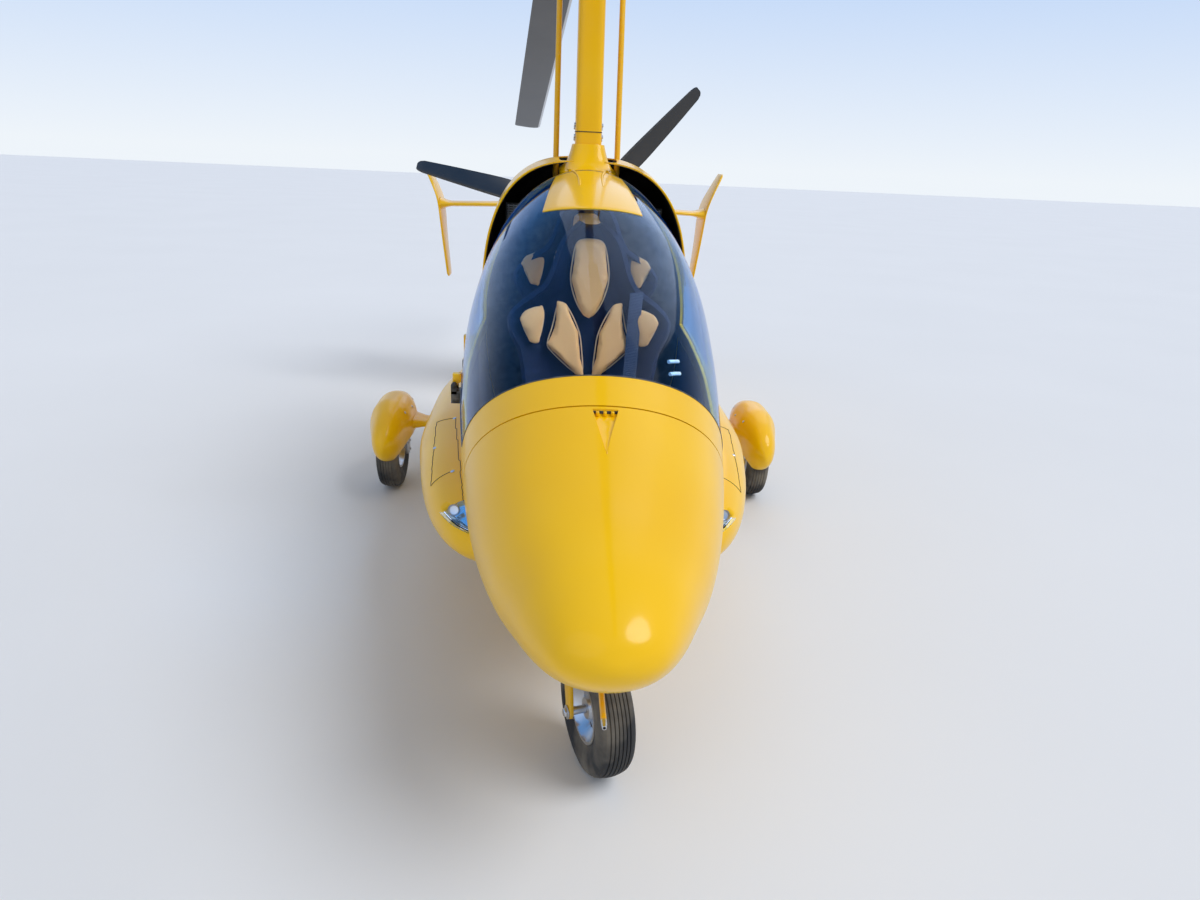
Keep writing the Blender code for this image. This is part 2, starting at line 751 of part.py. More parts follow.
def build_stern(black):
    """Grille plate that closes the fuselage ahead of the propeller, with the drive through it."""
    y0 = STERN_Y + SEAT_GAP
    ring = []
    for a in spaced(2.0, -2.0, 32)[:-1]:
        upper = abs(a) <= around_at(STERN_Y, COWL_JOINT_REAR_Z)
        x, _, z = shell_point(STERN_Y, a, GRILLE_INSET, upper)
        ring.append((x, z))
    plate = extrude("stern_grille", ring, y0, y0 + GRILLE, black, "Y")
    return combine(plate, round_pin("drive_hole", GEARBOX_RADIUS + CUT_REACH, 4 * GRILLE, (0, y0, PROP_Z)))


def build_bulkhead(black, grey):
    """Wall behind the rear seat that the canopy closes against, and the cabin floor."""
    inside = fuselage_solid("cabin_inside", WALL + SEAT_GAP, CAVITY_FIRST)
    reach = 2 * ENGINE_HIGH_Z
    wall = box("cabin_bulkhead", (-reach, BULKHEAD_Y, 0), (reach, BULKHEAD_Y + BULKHEAD, reach), black)
    combine(wall, inside, "INTERSECT", keep=True)
    low, high = (-reach, FLOOR_FRONT_Y, FLOOR_Z - FLOOR), (reach, BULKHEAD_Y - SEAT_GAP, FLOOR_Z)
    floor = box("cabin_floor", low, high, grey)
    combine(floor, inside, "INTERSECT")


def seat_ring_profile(offset, pan):
    """Seat profile moved square to itself by offset, as points (y, z); y < 0 there is a share of the pan."""
    pts = [Vector((y * pan if y < 0 else y, z)) for y, z in SEAT_PROFILE]
    out = []
    for i, p in enumerate(pts):
        d = (pts[min(i + 1, len(pts) - 1)] - pts[max(i - 1, 0)]).normalized()
        out.append(p + offset * Vector((d.y, -d.x)))
    return out


def build_seat(prefix, y, z, pan, shell_paint, pad_paint):
    """A bucket shell with a seat pad and a back pad that carries the headrest."""
    front, back = seat_ring_profile(0.0, pan), seat_ring_profile(SEAT_SHELL, pan)
    count = len(front)
    rings = []
    for i in range(count):
        half = SEAT_HALF * SEAT_TAPER[i]
        f, b = front[i], back[i]
        rings.append(
            [
                (-half, y + f.x, z + f.y), (half, y + f.x, z + f.y),
                (half, y + b.x, z + b.y), (-half, y + b.x, z + b.y),
            ]
        )
    shell = loft(prefix + "_shell", rings, shell_paint)
    under = seat_ring_profile(SEAT_SHELL / 2, pan)[1:4]
    outline = [(y + under[0].x, FLOOR_Z + SEAT_GAP)] + [(y + p.x, z + p.y) for p in under]
    outline.append((y + under[-1].x, FLOOR_Z + SEAT_GAP))
    combine(shell, extrude("pedestal", outline, -SEAT_BASE_HALF, SEAT_BASE_HALF, None, "X"), "UNION")
    lift = seat_ring_profile(-SEAT_GAP, pan)
    crown = seat_ring_profile(-PAD, pan)
    pads = []
    for name, first, last, half in (("_seat_pad", 0, 3, 0.17), ("_back_pad", 4, 7, 0.16)):
        rings = []
        for i in range(first, last + 1):
            width = half * SEAT_TAPER[i]
            f, b = crown[i], lift[i]
            rings.append(
                [
                    (-width, y + f.x, z + f.y), (width, y + f.x, z + f.y),
                    (width, y + b.x, z + b.y), (-width, y + b.x, z + b.y),
                ]
            )
        pads.append(loft(prefix + name, rings, pad_paint))
    return shell, pads


def superellipse(centre_u, centre_v, half_u, half_v, power, count):
    out = []
    for k in range(count):
        a = 2 * math.pi * k / count
        c, s = math.cos(a), math.sin(a)
        u = centre_u + half_u * math.copysign(abs(c) ** (2 / power), c)
        v = centre_v + half_v * math.copysign(abs(s) ** (2 / power), s)
        out.append((u, v))
    return out


def sponson_value(column, y):
    return smooth_value(SPONSON_SECTIONS, SPONSON_COLUMNS, column, y)


def sponson_solid(name, side, material):
    rings = []
    rows = spaced(SPONSON_SECTIONS[0][0], SPONSON_SECTIONS[-1][0], 15)
    for y in rows:
        outer, top, bottom = (sponson_value(c, y) for c in SPONSON_COLUMNS[1:])
        middle, half = (top + bottom) / 2 - SPONSON_DROP, (top - bottom) / 2
        ring = superellipse(SPONSON_ROOT_X, middle, outer - SPONSON_ROOT_X, half, SPONSON_ROUNDNESS, 16)
        rings.append([(side * u, y, v) for u, v in ring])
    return loft(name, rings, material, split=True)


def build_sponsons(yellow, lens):
    """Side pods with a landing light let into the upper nose of each."""
    for word, side in (("port", 1), ("starboard", -1)):
        pod = sponson_solid("sponson_" + word, side, yellow)
        body = fuselage_solid("pod_cut", -SEAT_GAP)
        combine(pod, body, keep=True)
        light = sponson_solid("landing_light_" + word, side, lens)
        combine(light, body)
        reach = sorted((side * SPONSON_ROOT_X / 2, side * 2 * SPONSON_ROOT_X))
        combine(light, extrude("light_keep", light_wedge(0.0), *reach, None, "X"), "INTERSECT")
        combine(pod, extrude("light_cut", light_wedge(LIGHT_GAP), *reach, None, "X"))


def light_wedge(margin):
    """Side view of the corner that each landing light fills, grown by margin."""
    rear = LIGHT_REAR_Y + margin
    low = [(LIGHT_FRONT_Y, LIGHT_FRONT_Z - margin), (rear, LIGHT_REAR_Z - margin)]
    return low + [(rear, LIGHT_TOP_Z), (LIGHT_FRONT_Y, LIGHT_TOP_Z)]


def cross_bar(radius, name="cross_bar"):
    """Cross bar of the rotor head that the push rods drive, in world places."""
    place = Matrix.Rotation(-ROTOR_TILT, 3, "X")
    centre = place @ Vector((0, CROSS_BAR_Y, CROSS_BAR_Z)) + Vector((0, 0, HUB_Z))
    return round_pin(name, radius, ROD_HALF_SPACING + ROD_RADIUS * 1.5, centre, (1, 0, 0)), centre


def mast_solid(name, margin, material):
    """The mast's rounded section swept up its lean, grown by margin."""
    outline = superellipse(0, 0, MAST_WIDTH / 2 + margin, MAST_DEPTH / 2 + margin, 5.0, 20)
    rings = []
    for z in (MAST_BASE_Z - margin, MAST_TOP_Z):
        y = line(z, MAST_BASE_Z, MAST_BASE_Y, MAST_TOP_Z, MAST_TOP_Y)
        rings.append([(u, y + v, z) for u, v in outline])
    return loft(name, rings, material)


def build_mast(yellow, cowl):
    """Mast and the two push rods beside it."""
    lean = Vector((0, MAST_TOP_Y - MAST_BASE_Y, MAST_TOP_Z - MAST_BASE_Z)).normalized()
    mast = mast_solid("mast", 0.0, yellow)
    back = Vector((0, lean.z, -lean.y)) * ROD_BEHIND
    for word, side in (("port", 1), ("starboard", -1)):
        low = Vector((side * ROD_HALF_SPACING, MAST_BASE_Y, MAST_BASE_Z)) + back - lean * ROD_BURIED
        clear, centre = cross_bar(CROSS_BAR_RADIUS + SEAT_GAP, "bar_clear")
        high = Vector((side * ROD_HALF_SPACING, centre.y, centre.z))
        push = rod("push_rod_" + word, [low, high], ROD_RADIUS, 10, yellow)
        combine(push, clear)
        combine(cowl, rod("rod_hole", [low, high], ROD_RADIUS + SEAT_GAP, 10, None))
    return mast


def fairing_plan(margin=0.0):
    """Outline of the mast fairing seen from above."""
    y0, y1 = COWL_FRONT_Y - margin, FAIRING_REAR_Y + margin
    return superellipse(0, (y0 + y1) / 2, FAIRING_HALF + margin, (y1 - y0) / 2, 5.0, 24)


def build_fairing(yellow, cowl):
    """Roof cover between canopy and cowl, let into the cowl and sweeping up round the foot of the mast."""
    base = fairing_plan()
    half, deep = MAST_WIDTH / 2 + FAIRING_COLLAR, MAST_DEPTH / 2 + 2 * FAIRING_COLLAR
    foot = superellipse(0, MAST_BASE_Y + FAIRING_COLLAR, half, deep, 3.5, len(base))
    top_z = MAST_BASE_Z + FAIRING_RISE
    rows = [[(u, v, FAIRING_LOW_Z) for u, v in base]]
    for share, spread in FAIRING_SECTIONS:
        ring = []
        for (fu, fv), (bu, bv) in zip(foot, base):
            u = fu + (bu - fu) * spread
            v = fv + (bv - fv) * spread
            roof = shell_point(v, around_at_x(v, abs(u)))[2]
            ring.append((u, v, roof + (top_z - roof) * share))
        rows.append(ring)
    body = loft("mast_fairing", rows, yellow, sharp=50)
    combine(body, mast_solid("mast_cut", SEAT_GAP, None))
    notch = extrude("fairing_notch", fairing_plan(SEAT_GAP), FAIRING_LOW_Z - 0.1, top_z, None, "Z")
    combine(cowl, notch)


def airfoil(chord, thick, count=8):
    """Closed outline of a wing section, leading edge at 0, as (along the chord, up)."""
    upper = []
    for i in range(count + 1):
        x = 0.5 * (1 - math.cos(math.pi * i / count))
        y = 5 * (0.2969 * math.sqrt(x) - 0.126 * x - 0.3516 * x**2 + 0.2843 * x**3 - 0.1015 * x**4)
        upper.append((x * chord, y * thick))
    lower = [(x, -y) for x, y in upper[-2:0:-1]]
    tip = upper[-1]
    upper[-1] = (tip[0], 0.0008)
    return upper + [(tip[0], -0.0008)] + lower


def build_rotor(grey, metal, spin):
    """Hub bar and two blades in the tilted plane of the disc."""
    pieces = [build_hub(metal)]
    outline = airfoil(BLADE_CHORD, BLADE_THICK)
    taper_end = HUB_BAR_HALF + BLADE_TAPER
    for word, side in (("aft", 1), ("fore", -1)):
        rings = []
        for reach, share in ((BLADE_ROOT, BLADE_ROOT_SHARE), (taper_end, 1.0), (ROTOR_RADIUS, 1.0)):
            scale = -side * share
            rings.append([(scale * (u - BLADE_CHORD * 0.30), side * reach, v * share) for u, v in outline])
        blade = loft("rotor_blade_" + word, rings, grey)
        pieces.append(combine(blade, hub_bar("bar_clear", SEAT_GAP)))
    frame = Matrix.Rotation(-ROTOR_TILT, 4, "X") @ Matrix.Rotation(ROTOR_YAW, 4, "Z")
    for piece in pieces:
        piece.data.transform(Matrix.Translation((0, 0, HUB_Z)) @ frame)
        piece.parent = spin
        piece.matrix_parent_inverse = spin.matrix_world.inverted()


def hub_bar(name, margin, material=None):
    """Flat bar that joins the blade roots, grown by margin."""
    corner = Vector((HUB_BAR_WIDE + margin, HUB_BAR_HALF + margin, HUB_BAR_THICK + margin))
    return box(name, -corner, corner, material)


def build_hub(metal):
    """Hub bar with its teeter block and bolt, bored for the spindle."""
    bar = chamfer(hub_bar("rotor_hub", 0.0, metal), 0.006)
    tower = box("hub_tower", (-0.05, -0.06, -0.055), (0.05, 0.06, 0.035))
    combine(bar, chamfer(tower, 0.008), "UNION")
    combine(bar, round_pin("teeter_bolt", 0.009, 0.065, (0, 0, 0.012), (1, 0, 0)), "UNION")
    bore = SPINDLE + PIN_CLEAR
    profile = [(0, -0.10), (bore, -0.10), (bore, -0.015), (0, -0.015)]
    return combine(bar, turn("spindle_bore", profile, (0, 0, 0), (0, 0, 1), 20, None, closed=False))


def build_rotor_head(metal):
    """Head block on the mast with its cross bar and the bearing under the hub."""
    place = Matrix.Translation((0, 0, HUB_Z)) @ Matrix.Rotation(-ROTOR_TILT, 4, "X")
    block = box("rotor_head", (-0.045, -0.070, -0.26), (0.045, 0.060, -0.12), metal)
    chamfer(block, 0.008)
    profile = [(0, -0.14), (0.045, -0.14), (0.058, -0.125), (0.058, -0.085), (0.035, -0.08), (0.028, -0.061),
               (SPINDLE, -0.061), (SPINDLE, -0.02), (0, -0.02)]
    combine(block, turn("bearing", profile, (0, 0, 0), (0, 0, 1), 20, None, closed=False), "UNION")
    arm = box("arm", (-0.02, 0.03, CROSS_BAR_Z - 0.015), (0.02, CROSS_BAR_Y + 0.005, CROSS_BAR_Z + 0.015))
    combine(block, arm, "UNION")
    block.data.transform(place)
    combine(block, cross_bar(CROSS_BAR_RADIUS)[0], "UNION")
    combine(block, box("mast_top", (-0.2, -0.3, MAST_TOP_Z - 0.2), (0.2, 0.3, MAST_TOP_Z + SEAT_GAP)))


def build_propeller(black, metal, spin):
    """Bored hub with a small spinner, and three twisted blades that butt on it."""
    centre = Vector((0, PROP_Y, PROP_Z))
    bore = PROP_SHAFT + PIN_CLEAR
    profile = [(0, 0.010), (bore, 0.010), (bore, -PROP_HUB_FRONT), (0.062, -PROP_HUB_FRONT), (0.066, -0.03),
               (PROP_HUB_RADIUS, -0.03), (PROP_HUB_RADIUS, 0.03), (0.060, 0.055), (0.035, 0.075), (0, 0.082)]
    turn("prop_hub", profile, centre, (0, 1, 0), 24, metal, spin, closed=False)
    for k in range(3):
        spoke = PROP_PHASE + 2 * math.pi * k / 3
        rings = []
        for share, chord, pitch, thick in PROP_SECTIONS:
            turned = math.radians(pitch)
            ring = []
            for u, v in airfoil(chord, thick, 6):
                across = u - chord * 0.35
                wide = across * math.cos(turned) - v * math.sin(turned)
                deep = across * math.sin(turned) + v * math.cos(turned)
                ring.append((wide, deep, share * PROP_RADIUS))
            rings.append(ring)
        blade = loft("prop_blade_%d" % (k + 1), rings, black)
        blade.data.transform(Matrix.Translation(centre) @ Matrix.Rotation(math.pi / 2 - spoke, 4, "Y"))
        clear = PROP_HUB_RADIUS + SEAT_GAP
        profile = [(0, -0.10), (clear, -0.10), (clear, 0.10), (0, 0.10)]
        combine(blade, turn("hub_clear", profile, centre, (0, 1, 0), 24, None, closed=False))
        blade.parent = spin
        blade.matrix_parent_inverse = spin.matrix_world.inverted()


def build_engine(metal):
    """Engine and gearbox as one plain block at its real place, with the shaft that carries the propeller."""
    block = box("engine_block", (-ENGINE_HALF, ENGINE_FRONT_Y, ENGINE_LOW_Z),
                (ENGINE_HALF, ENGINE_REAR_Y, ENGINE_HIGH_Z), metal)
    chamfer(block, ENGINE_ROUNDING)
    start = ENGINE_REAR_Y - CUT_REACH
    face = PROP_Y - PROP_HUB_FRONT - PANEL_GAP - start
    profile = [(0, 0), (GEARBOX_RADIUS, 0), (GEARBOX_RADIUS, face - ENGINE_ROUNDING), (GEARBOX_NOSE, face),
               (PROP_SHAFT, face), (PROP_SHAFT, PROP_Y - start), (0, PROP_Y - start)]
    drive = turn("gearbox", profile, (0, start, PROP_Z), (0, 1, 0), 20, None, closed=False)
    combine(block, drive, "UNION")
    stand = box("engine_mount", (-ENGINE_MOUNT_HALF, ENGINE_MOUNT_FRONT_Y, BOOM_BOTTOM_Z),
                (ENGINE_MOUNT_HALF, ENGINE_MOUNT_REAR_Y, ENGINE_LOW_Z + CUT_REACH))
    combine(block, stand, "UNION")
    combine(block, fuselage_solid("bay_inside", WALL + SEAT_GAP, CAVITY_FIRST, 0.2), "INTERSECT")


def build_radiators(black):
    for word, side in (("port", 1), ("starboard", -1)):
        x0, x1 = sorted((side * (ENGINE_HALF + SEAT_GAP), side * RADIATOR_X))
        rear = RADIATOR_FRONT_Y + RADIATOR_THICK
        box("radiator_" + word, (x0, RADIATOR_FRONT_Y, RADIATOR_LOW_Z), (x1, rear, RADIATOR_HIGH_Z), black)


def build_tail(yellow, rudder_pivot):
    """Boom under the belly with its skid, the fin on it, the rudder and the two tailplane halves."""
    boom_top = BOOM_BOTTOM_Z + BOOM_HEIGHT
    half, end, low = BOOM_WIDTH / 2, BOOM_END_Y, BOOM_BOTTOM_Z
    boom = box("tail_boom", (-half, BOOM_FRONT_Y, low), (half, end, boom_top), yellow)
    chamfer(boom, 0.008)
    bury = low + BOOM_HEIGHT / 8
    outline = [(end - SKID_LENGTH, bury), (end - SKID_LENGTH * 0.64, low - SKID_DROP * 0.9),
               (end - SKID_LENGTH * 0.27, low - SKID_DROP), (end, low - SKID_DROP * 0.66),
               (end - SKID_LENGTH / 11, bury)]
    combine(boom, extrude("skid", outline, -SKID_THICK / 2, SKID_THICK / 2, None, "X"), "UNION")
    combine(boom, fuselage_solid("boom_clear", -SEAT_GAP, past=GRILLE + 2 * SEAT_GAP))
    fin = fin_panel(boom_top + SEAT_GAP, yellow)
    build_rudder(yellow, fin, rudder_pivot)
    for word, side in (("port", 1), ("starboard", -1)):
        tail_half(word, side, yellow)


def build_rudder(yellow, fin, rudder_pivot):
    """Rudder with a round nose about its hinge line, on two lugs with pins that stand off the fin."""
    nose = FIN_THICK / 2 * 0.92
    edge = 0.002
    rings = []
    for z, share in ((RUDDER_BOTTOM_Z, 1.0), (RUDDER_TOP_Z, RUDDER_TOP_SHARE)):
        ring = [(-nose * math.sin(a), RUDDER_HINGE_Y - nose * math.cos(a), z)
                for a in spaced(math.pi / 2, -math.pi / 2, 8)]
        middle, tail = (RUDDER_HINGE_Y + RUDDER_CHORD * share * k for k in (0.45, 1.0))
        ring += [(nose * 0.6, middle, z), (edge, tail, z), (-edge, tail, z), (-nose * 0.6, middle, z)]
        rings.append(ring)
    rudder = loft("rudder", rings, yellow, rudder_pivot)
    for z in RUDDER_LUGS:
        low, high = z - LUG_THICK / 2, z + LUG_THICK / 2
        front, rear = RUDDER_HINGE_Y - LUG_ROOT, RUDDER_HINGE_Y + LUG_REACH
        combine(fin, box("lug", (-2 * PIN, front, low), (2 * PIN, rear, high)), "UNION")
        reach = LUG_THICK / 2 + LUG_PIN
        centre = (0, RUDDER_HINGE_Y, z)
        combine(fin, round_pin("pin", PIN, reach, centre, (0, 0, 1)), "UNION")
        notch = box("notch", (-FIN_THICK, RUDDER_HINGE_Y - FIN_THICK, low - PANEL_GAP),
                    (FIN_THICK, rear + PANEL_GAP, high + PANEL_GAP))
        combine(rudder, notch)
        combine(rudder, round_pin("hole", PIN + PIN_CLEAR, reach + LUG_THICK / 4, centre, (0, 0, 1)))


def fin_panel(low, material):
    """Fixed fin with a square rear, ahead of the rudder."""
    rings = []
    for z, front in ((low, FIN_ROOT_FRONT_Y), (FIN_TOP_Z, FIN_TOP_FRONT_Y)):
        chord = RUDDER_HINGE_Y - RUDDER_GAP - front
        rings.append([(v, front + u, z) for u, v in airfoil_blunt(chord, FIN_THICK / 2)])
    return loft("tail_fin", rings, material)


def airfoil_blunt(chord, half, count=7):
    """A section that swells to its full thickness over the first third and keeps it to the rear."""
    upper = []
    for i in range(count + 1):
        along = (i / count) ** 2
        swell = min(along / 0.35, 1.0)
        upper.append((along * chord, half * math.sqrt(2 * swell - swell**2)))
    return upper + [(x, -y) for x, y in reversed(upper[1:])]


def tail_half(word, side, material):
    """One half of the tailplane with its end fin in the same moulding."""
    rings = []
    root_x = FIN_THICK / 2 + SEAT_GAP
    for share in (0.0, 0.5, 1.0):
        x = root_x + (TAIL_SPAN_HALF - root_x) * share
        front = TAIL_ROOT_FRONT_Y + (TAIL_TIP_FRONT_Y - TAIL_ROOT_FRONT_Y) * share
        chord = TAIL_ROOT_CHORD + (TAIL_TIP_CHORD - TAIL_ROOT_CHORD) * share
        z = TAIL_ROOT_Z + (TAIL_TIP_Z - TAIL_ROOT_Z) * share
        rings.append([(side * x, front + u, z + v) for u, v in airfoil(chord, TAIL_THICK, 6)])
    plane = loft("tailplane_" + word, rings, material)
    rings = []
    for x, z, front, chord in END_FIN_SECTIONS:
        out, back, up = TAIL_SPAN_HALF + x, TAIL_TIP_FRONT_Y + front, TAIL_TIP_Z + z
        rings.append([(side * (out + v), back + u, up) for u, v in airfoil(chord, END_FIN_THICK, 6)])
    combine(plane, loft("end_fin", rings, None), "UNION")


def tyre_profile(radius, width, rim):
    """Closed outline of a tyre as (radius, along the axle)."""
    half = width / 2
    middle = rim + (radius - rim) * 0.45
    return [
        (rim, -half * 0.74), (middle, -half), (radius - 0.020, -half * 0.88), (radius, -half * 0.32),
        (radius, half * 0.32), (radius - 0.020, half * 0.88), (middle, half), (rim, half * 0.74),
    ]


def rim_profile(rim, width, bore):
    half = width / 2
    edge = rim - SEAT_GAP
    boss, well = bore + 0.024, edge - 0.020
    outward = [(bore, 0.62), (boss, 0.20), (well, 0.20), (edge, 0.70)]
    inward = [(r, half * along) for r, along in reversed(outward)]
    return [(r, -half * along) for r, along in outward] + inward


def build_wheel(prefix, centre, sizes, rubber, metal, parent, steer=0.0, steps=32):
    """Tyre and rim about an axle along X, then steered about the vertical through the hub."""
    radius, width, rim = sizes
    bore = AXLE_RADIUS + AXLE_CLEAR
    tyre = turn(prefix + "_tyre", tyre_profile(radius, width, rim), (0, 0, 0), (1, 0, 0), steps, rubber)
    disc = turn(prefix + "_rim", rim_profile(rim, width, bore), (0, 0, 0), (1, 0, 0), steps, metal)
    for piece in (tyre, disc):
        piece.data.transform(Matrix.Translation(centre) @ Matrix.Rotation(steer, 4, "Z"))
        piece.parent = parent
        piece.matrix_parent_inverse = parent.matrix_world.inverted()
    return tyre, disc


def build_bow(yellow):
    """Cross spring under the belly with an axle plate, a stub axle and a cuff at each end."""
    half = BOW_THICK / 2
    stop = AXLE_PLATE_X - AXLE_PLATE / 2
    centre_z = section(MAIN_WHEEL_Y)["belly"] - SEAT_GAP - half
    path = [(-stop, BOW_TIP_Z), (-BOW_STRAIGHT_X, centre_z), (BOW_STRAIGHT_X, centre_z), (stop, BOW_TIP_Z)]
    outline = [(x, z + half) for x, z in path] + [(x, z - half) for x, z in reversed(path)]
    y0, y1 = MAIN_WHEEL_Y - BOW_CHORD / 2, MAIN_WHEEL_Y + BOW_CHORD / 2
    bow = chamfer(extrude("gear_bow", outline, y0, y1, yellow, "Y"), BOW_ROUNDING)
    axle_tip = MAIN_WHEEL_X + MAIN_TYRE_WIDTH / 2 - HINGE_ARM_GRIP
    for side in (1, -1):
        x0, x1 = sorted((side * (stop - BOW_ROUNDING / 8), side * (AXLE_PLATE_X + AXLE_PLATE / 2)))
        low = (x0, MAIN_WHEEL_Y - AXLE_PLATE_HALF, MAIN_TYRE_RADIUS - AXLE_PLATE_HALF)
        high = (x1, MAIN_WHEEL_Y + AXLE_PLATE_HALF, BOW_TIP_Z + half)
        combine(bow, box("axle_plate", low, high), "UNION")
        a0, a1 = sorted((side * AXLE_PLATE_X, side * axle_tip))
        profile = [(0, 0), (AXLE_RADIUS, 0), (AXLE_RADIUS, a1 - a0), (0, a1 - a0)]
        start = (a0, MAIN_WHEEL_Y, MAIN_TYRE_RADIUS)
        combine(bow, turn("stub_axle", profile, start, (1, 0, 0), 16, None, closed=False), "UNION")
        combine(bow, cuff(side, 0.0), "UNION")
    return bow


def cuff(side, margin):
    """Fairing that swells from the spring into the spat, grown by margin."""
    stop = AXLE_PLATE_X - AXLE_PLATE / 2
    centre_z = section(MAIN_WHEEL_Y)["belly"] - SEAT_GAP - BOW_THICK / 2
    rings = []
    for x, share in ((CUFF_INNER_X, 0.55), (CUFF_INNER_X + CUFF_HALF, 0.85), (stop - BOW_ROUNDING, 1.0)):
        z = line(x, BOW_STRAIGHT_X, centre_z, stop, BOW_TIP_Z)
        ring = []
        for k in range(14):
            angle = 2 * math.pi * k / 14
            ahead = math.cos(angle)
            reach = (CUFF_REAR if ahead > 0 else CUFF_FRONT) * (0.6 + 0.4 * share) + margin
            thick = CUFF_HALF * share * (1.0 - 0.35 * max(ahead, 0.0)) + margin
            ring.append((side * x, MAIN_WHEEL_Y + ahead * reach, z + thick * math.sin(angle)))
        rings.append(ring)
    return loft("cuff", rings, None, split=True)


def spat_solid(name, side, inset, material):
    """Egg-shaped wheel fairing, whole, moved in by inset."""
    rings = []
    front, rear = SPAT_FRONT_Y + inset, SPAT_REAR_Y - inset
    for share in (0.0, 0.03, 0.08, 0.15, 0.24, 0.34, 0.45, 0.56, 0.67, 0.78, 0.88, 0.95, 1.0):
        half, top, bottom = (smooth_value(SPAT_SECTIONS, SPAT_COLUMNS, c, share) for c in SPAT_COLUMNS[1:])
        middle, tall = (top + bottom) / 2, (top - bottom) / 2
        wide, tall = max(half - inset, inset / 4), max(tall - inset, inset / 4)
        ring = superellipse(side * SPAT_X, middle, wide, tall, 2.2, 16)
        rings.append([(u, front + (rear - front) * share, v) for u, v in ring])
    return loft(name, rings, material)


def build_spats(yellow):
    """Hollow spats, open below for the tyre, with the lower inner edge cut away round the axle."""
    radius = MAIN_TYRE_RADIUS + TYRE_CLEAR
    for word, side in (("port", 1), ("starboard", -1)):
        spat = spat_solid("spat_" + word, side, 0.0, yellow)
        combine(spat, spat_solid("hollow", side, SPAT_WALL, None))
        x0, x1 = sorted((side * (MAIN_WHEEL_X - WELL_HALF), side * (MAIN_WHEEL_X + WELL_HALF)))
        profile = [(0, 0), (radius, 0), (radius, x1 - x0), (0, x1 - x0)]
        centre = (x0, MAIN_WHEEL_Y, MAIN_TYRE_RADIUS)
        combine(spat, turn("well", profile, centre, (1, 0, 0), 20, None, closed=False))
        low, high = (x0, MAIN_WHEEL_Y - radius, 0.0), (x1, MAIN_WHEEL_Y + radius, MAIN_TYRE_RADIUS)
        combine(spat, box("mouth", low, high))
        inner = SPAT_X - SPAT_HALF - SPAT_WALL
        outline = [(inner, 0), (SLANT_REACH_X, 0), (SLANT_REACH_X, MAIN_TYRE_RADIUS), (inner, SLANT_TOP_Z)]
        outline = [(side * u, v) for u, v in outline]
        combine(spat, extrude("slant", outline, SPAT_FRONT_Y, SPAT_REAR_Y, None, "Y"))
        combine(spat, cuff(side, SEAT_GAP))


def nose_wheel_centre():
    turned = Matrix.Rotation(NOSE_STEER, 3, "Z") @ Vector((0, NOSE_WHEEL_Y - NOSE_STEM_Y, 0))
    return Vector((0, NOSE_STEM_Y, NOSE_TYRE_RADIUS)) + turned


def build_nose_gear(yellow, metal, rubber, steer, roll):
    """Steered fork with its axle in the collar under the belly, and the wheel in it, turned as it stands."""
    trail = NOSE_WHEEL_Y - NOSE_STEM_Y
    crown_low = 2 * NOSE_TYRE_RADIUS + CROWN_CLEAR
    crown_high = crown_low + FORK_CROWN
    outer = FORK_HALF + FORK_LEG
    fork = box("nose_fork", (-outer, -FORK_FRONT, crown_low), (outer, FORK_REAR, crown_high), yellow)
    top, foot = crown_high - SEAT_GAP, NOSE_TYRE_RADIUS - LEG_FOOT_HALF
    front, rear = trail - LEG_FOOT_HALF, trail + LEG_FOOT_HALF
    outline = [(-FORK_FRONT, top), (front, foot), (rear, foot), (FORK_REAR, top)]
    for side in (1, -1):
        x0, x1 = sorted((side * FORK_HALF, side * outer))
        combine(fork, extrude("leg", outline, x0, x1, None, "X"), "UNION")
    shoulder = crown_high + LEG_FOOT_HALF / 3
    pin_top = shoulder + STEM_RADIUS
    profile = [(0, crown_low), (STEM_RADIUS, crown_low), (STEM_RADIUS, shoulder), (STEM_PIN, shoulder),
               (STEM_PIN, pin_top), (0.0, pin_top)]
    combine(fork, turn("stem", profile, (0, 0, 0), (0, 0, 1), 16, None, closed=False), "UNION")
    axle = round_pin("nose_axle", AXLE_RADIUS, outer + FORK_LEG / 2, (0, trail, NOSE_TYRE_RADIUS), (1, 0, 0))
    combine(fork, axle, "UNION")
    stand = Matrix.Translation((0, NOSE_STEM_Y, 0)) @ Matrix.Rotation(NOSE_STEER, 4, "Z")
    fork.data.transform(stand)
    fork.parent = steer
    fork.matrix_parent_inverse = steer.matrix_world.inverted()
    low, bore = shoulder + COLLAR_CLEAR, STEM_PIN + PIN_CLEAR
    high = pin_top + 2 * COLLAR_RADIUS
    edge = COLLAR_RADIUS
    profile = [(bore, low), (edge * 0.85, low), (edge, low + PIN), (edge, high), (bore, high)]
    collar = turn("nose_collar", profile, (0, NOSE_STEM_Y, 0), (0, 0, 1), 16, yellow)
    combine(collar, fuselage_solid("belly_cut", -SEAT_GAP))
    sizes = (NOSE_TYRE_RADIUS, NOSE_TYRE_WIDTH, NOSE_RIM_RADIUS)
    build_wheel("nose", nose_wheel_centre(), sizes, rubber, metal, roll, NOSE_STEER)


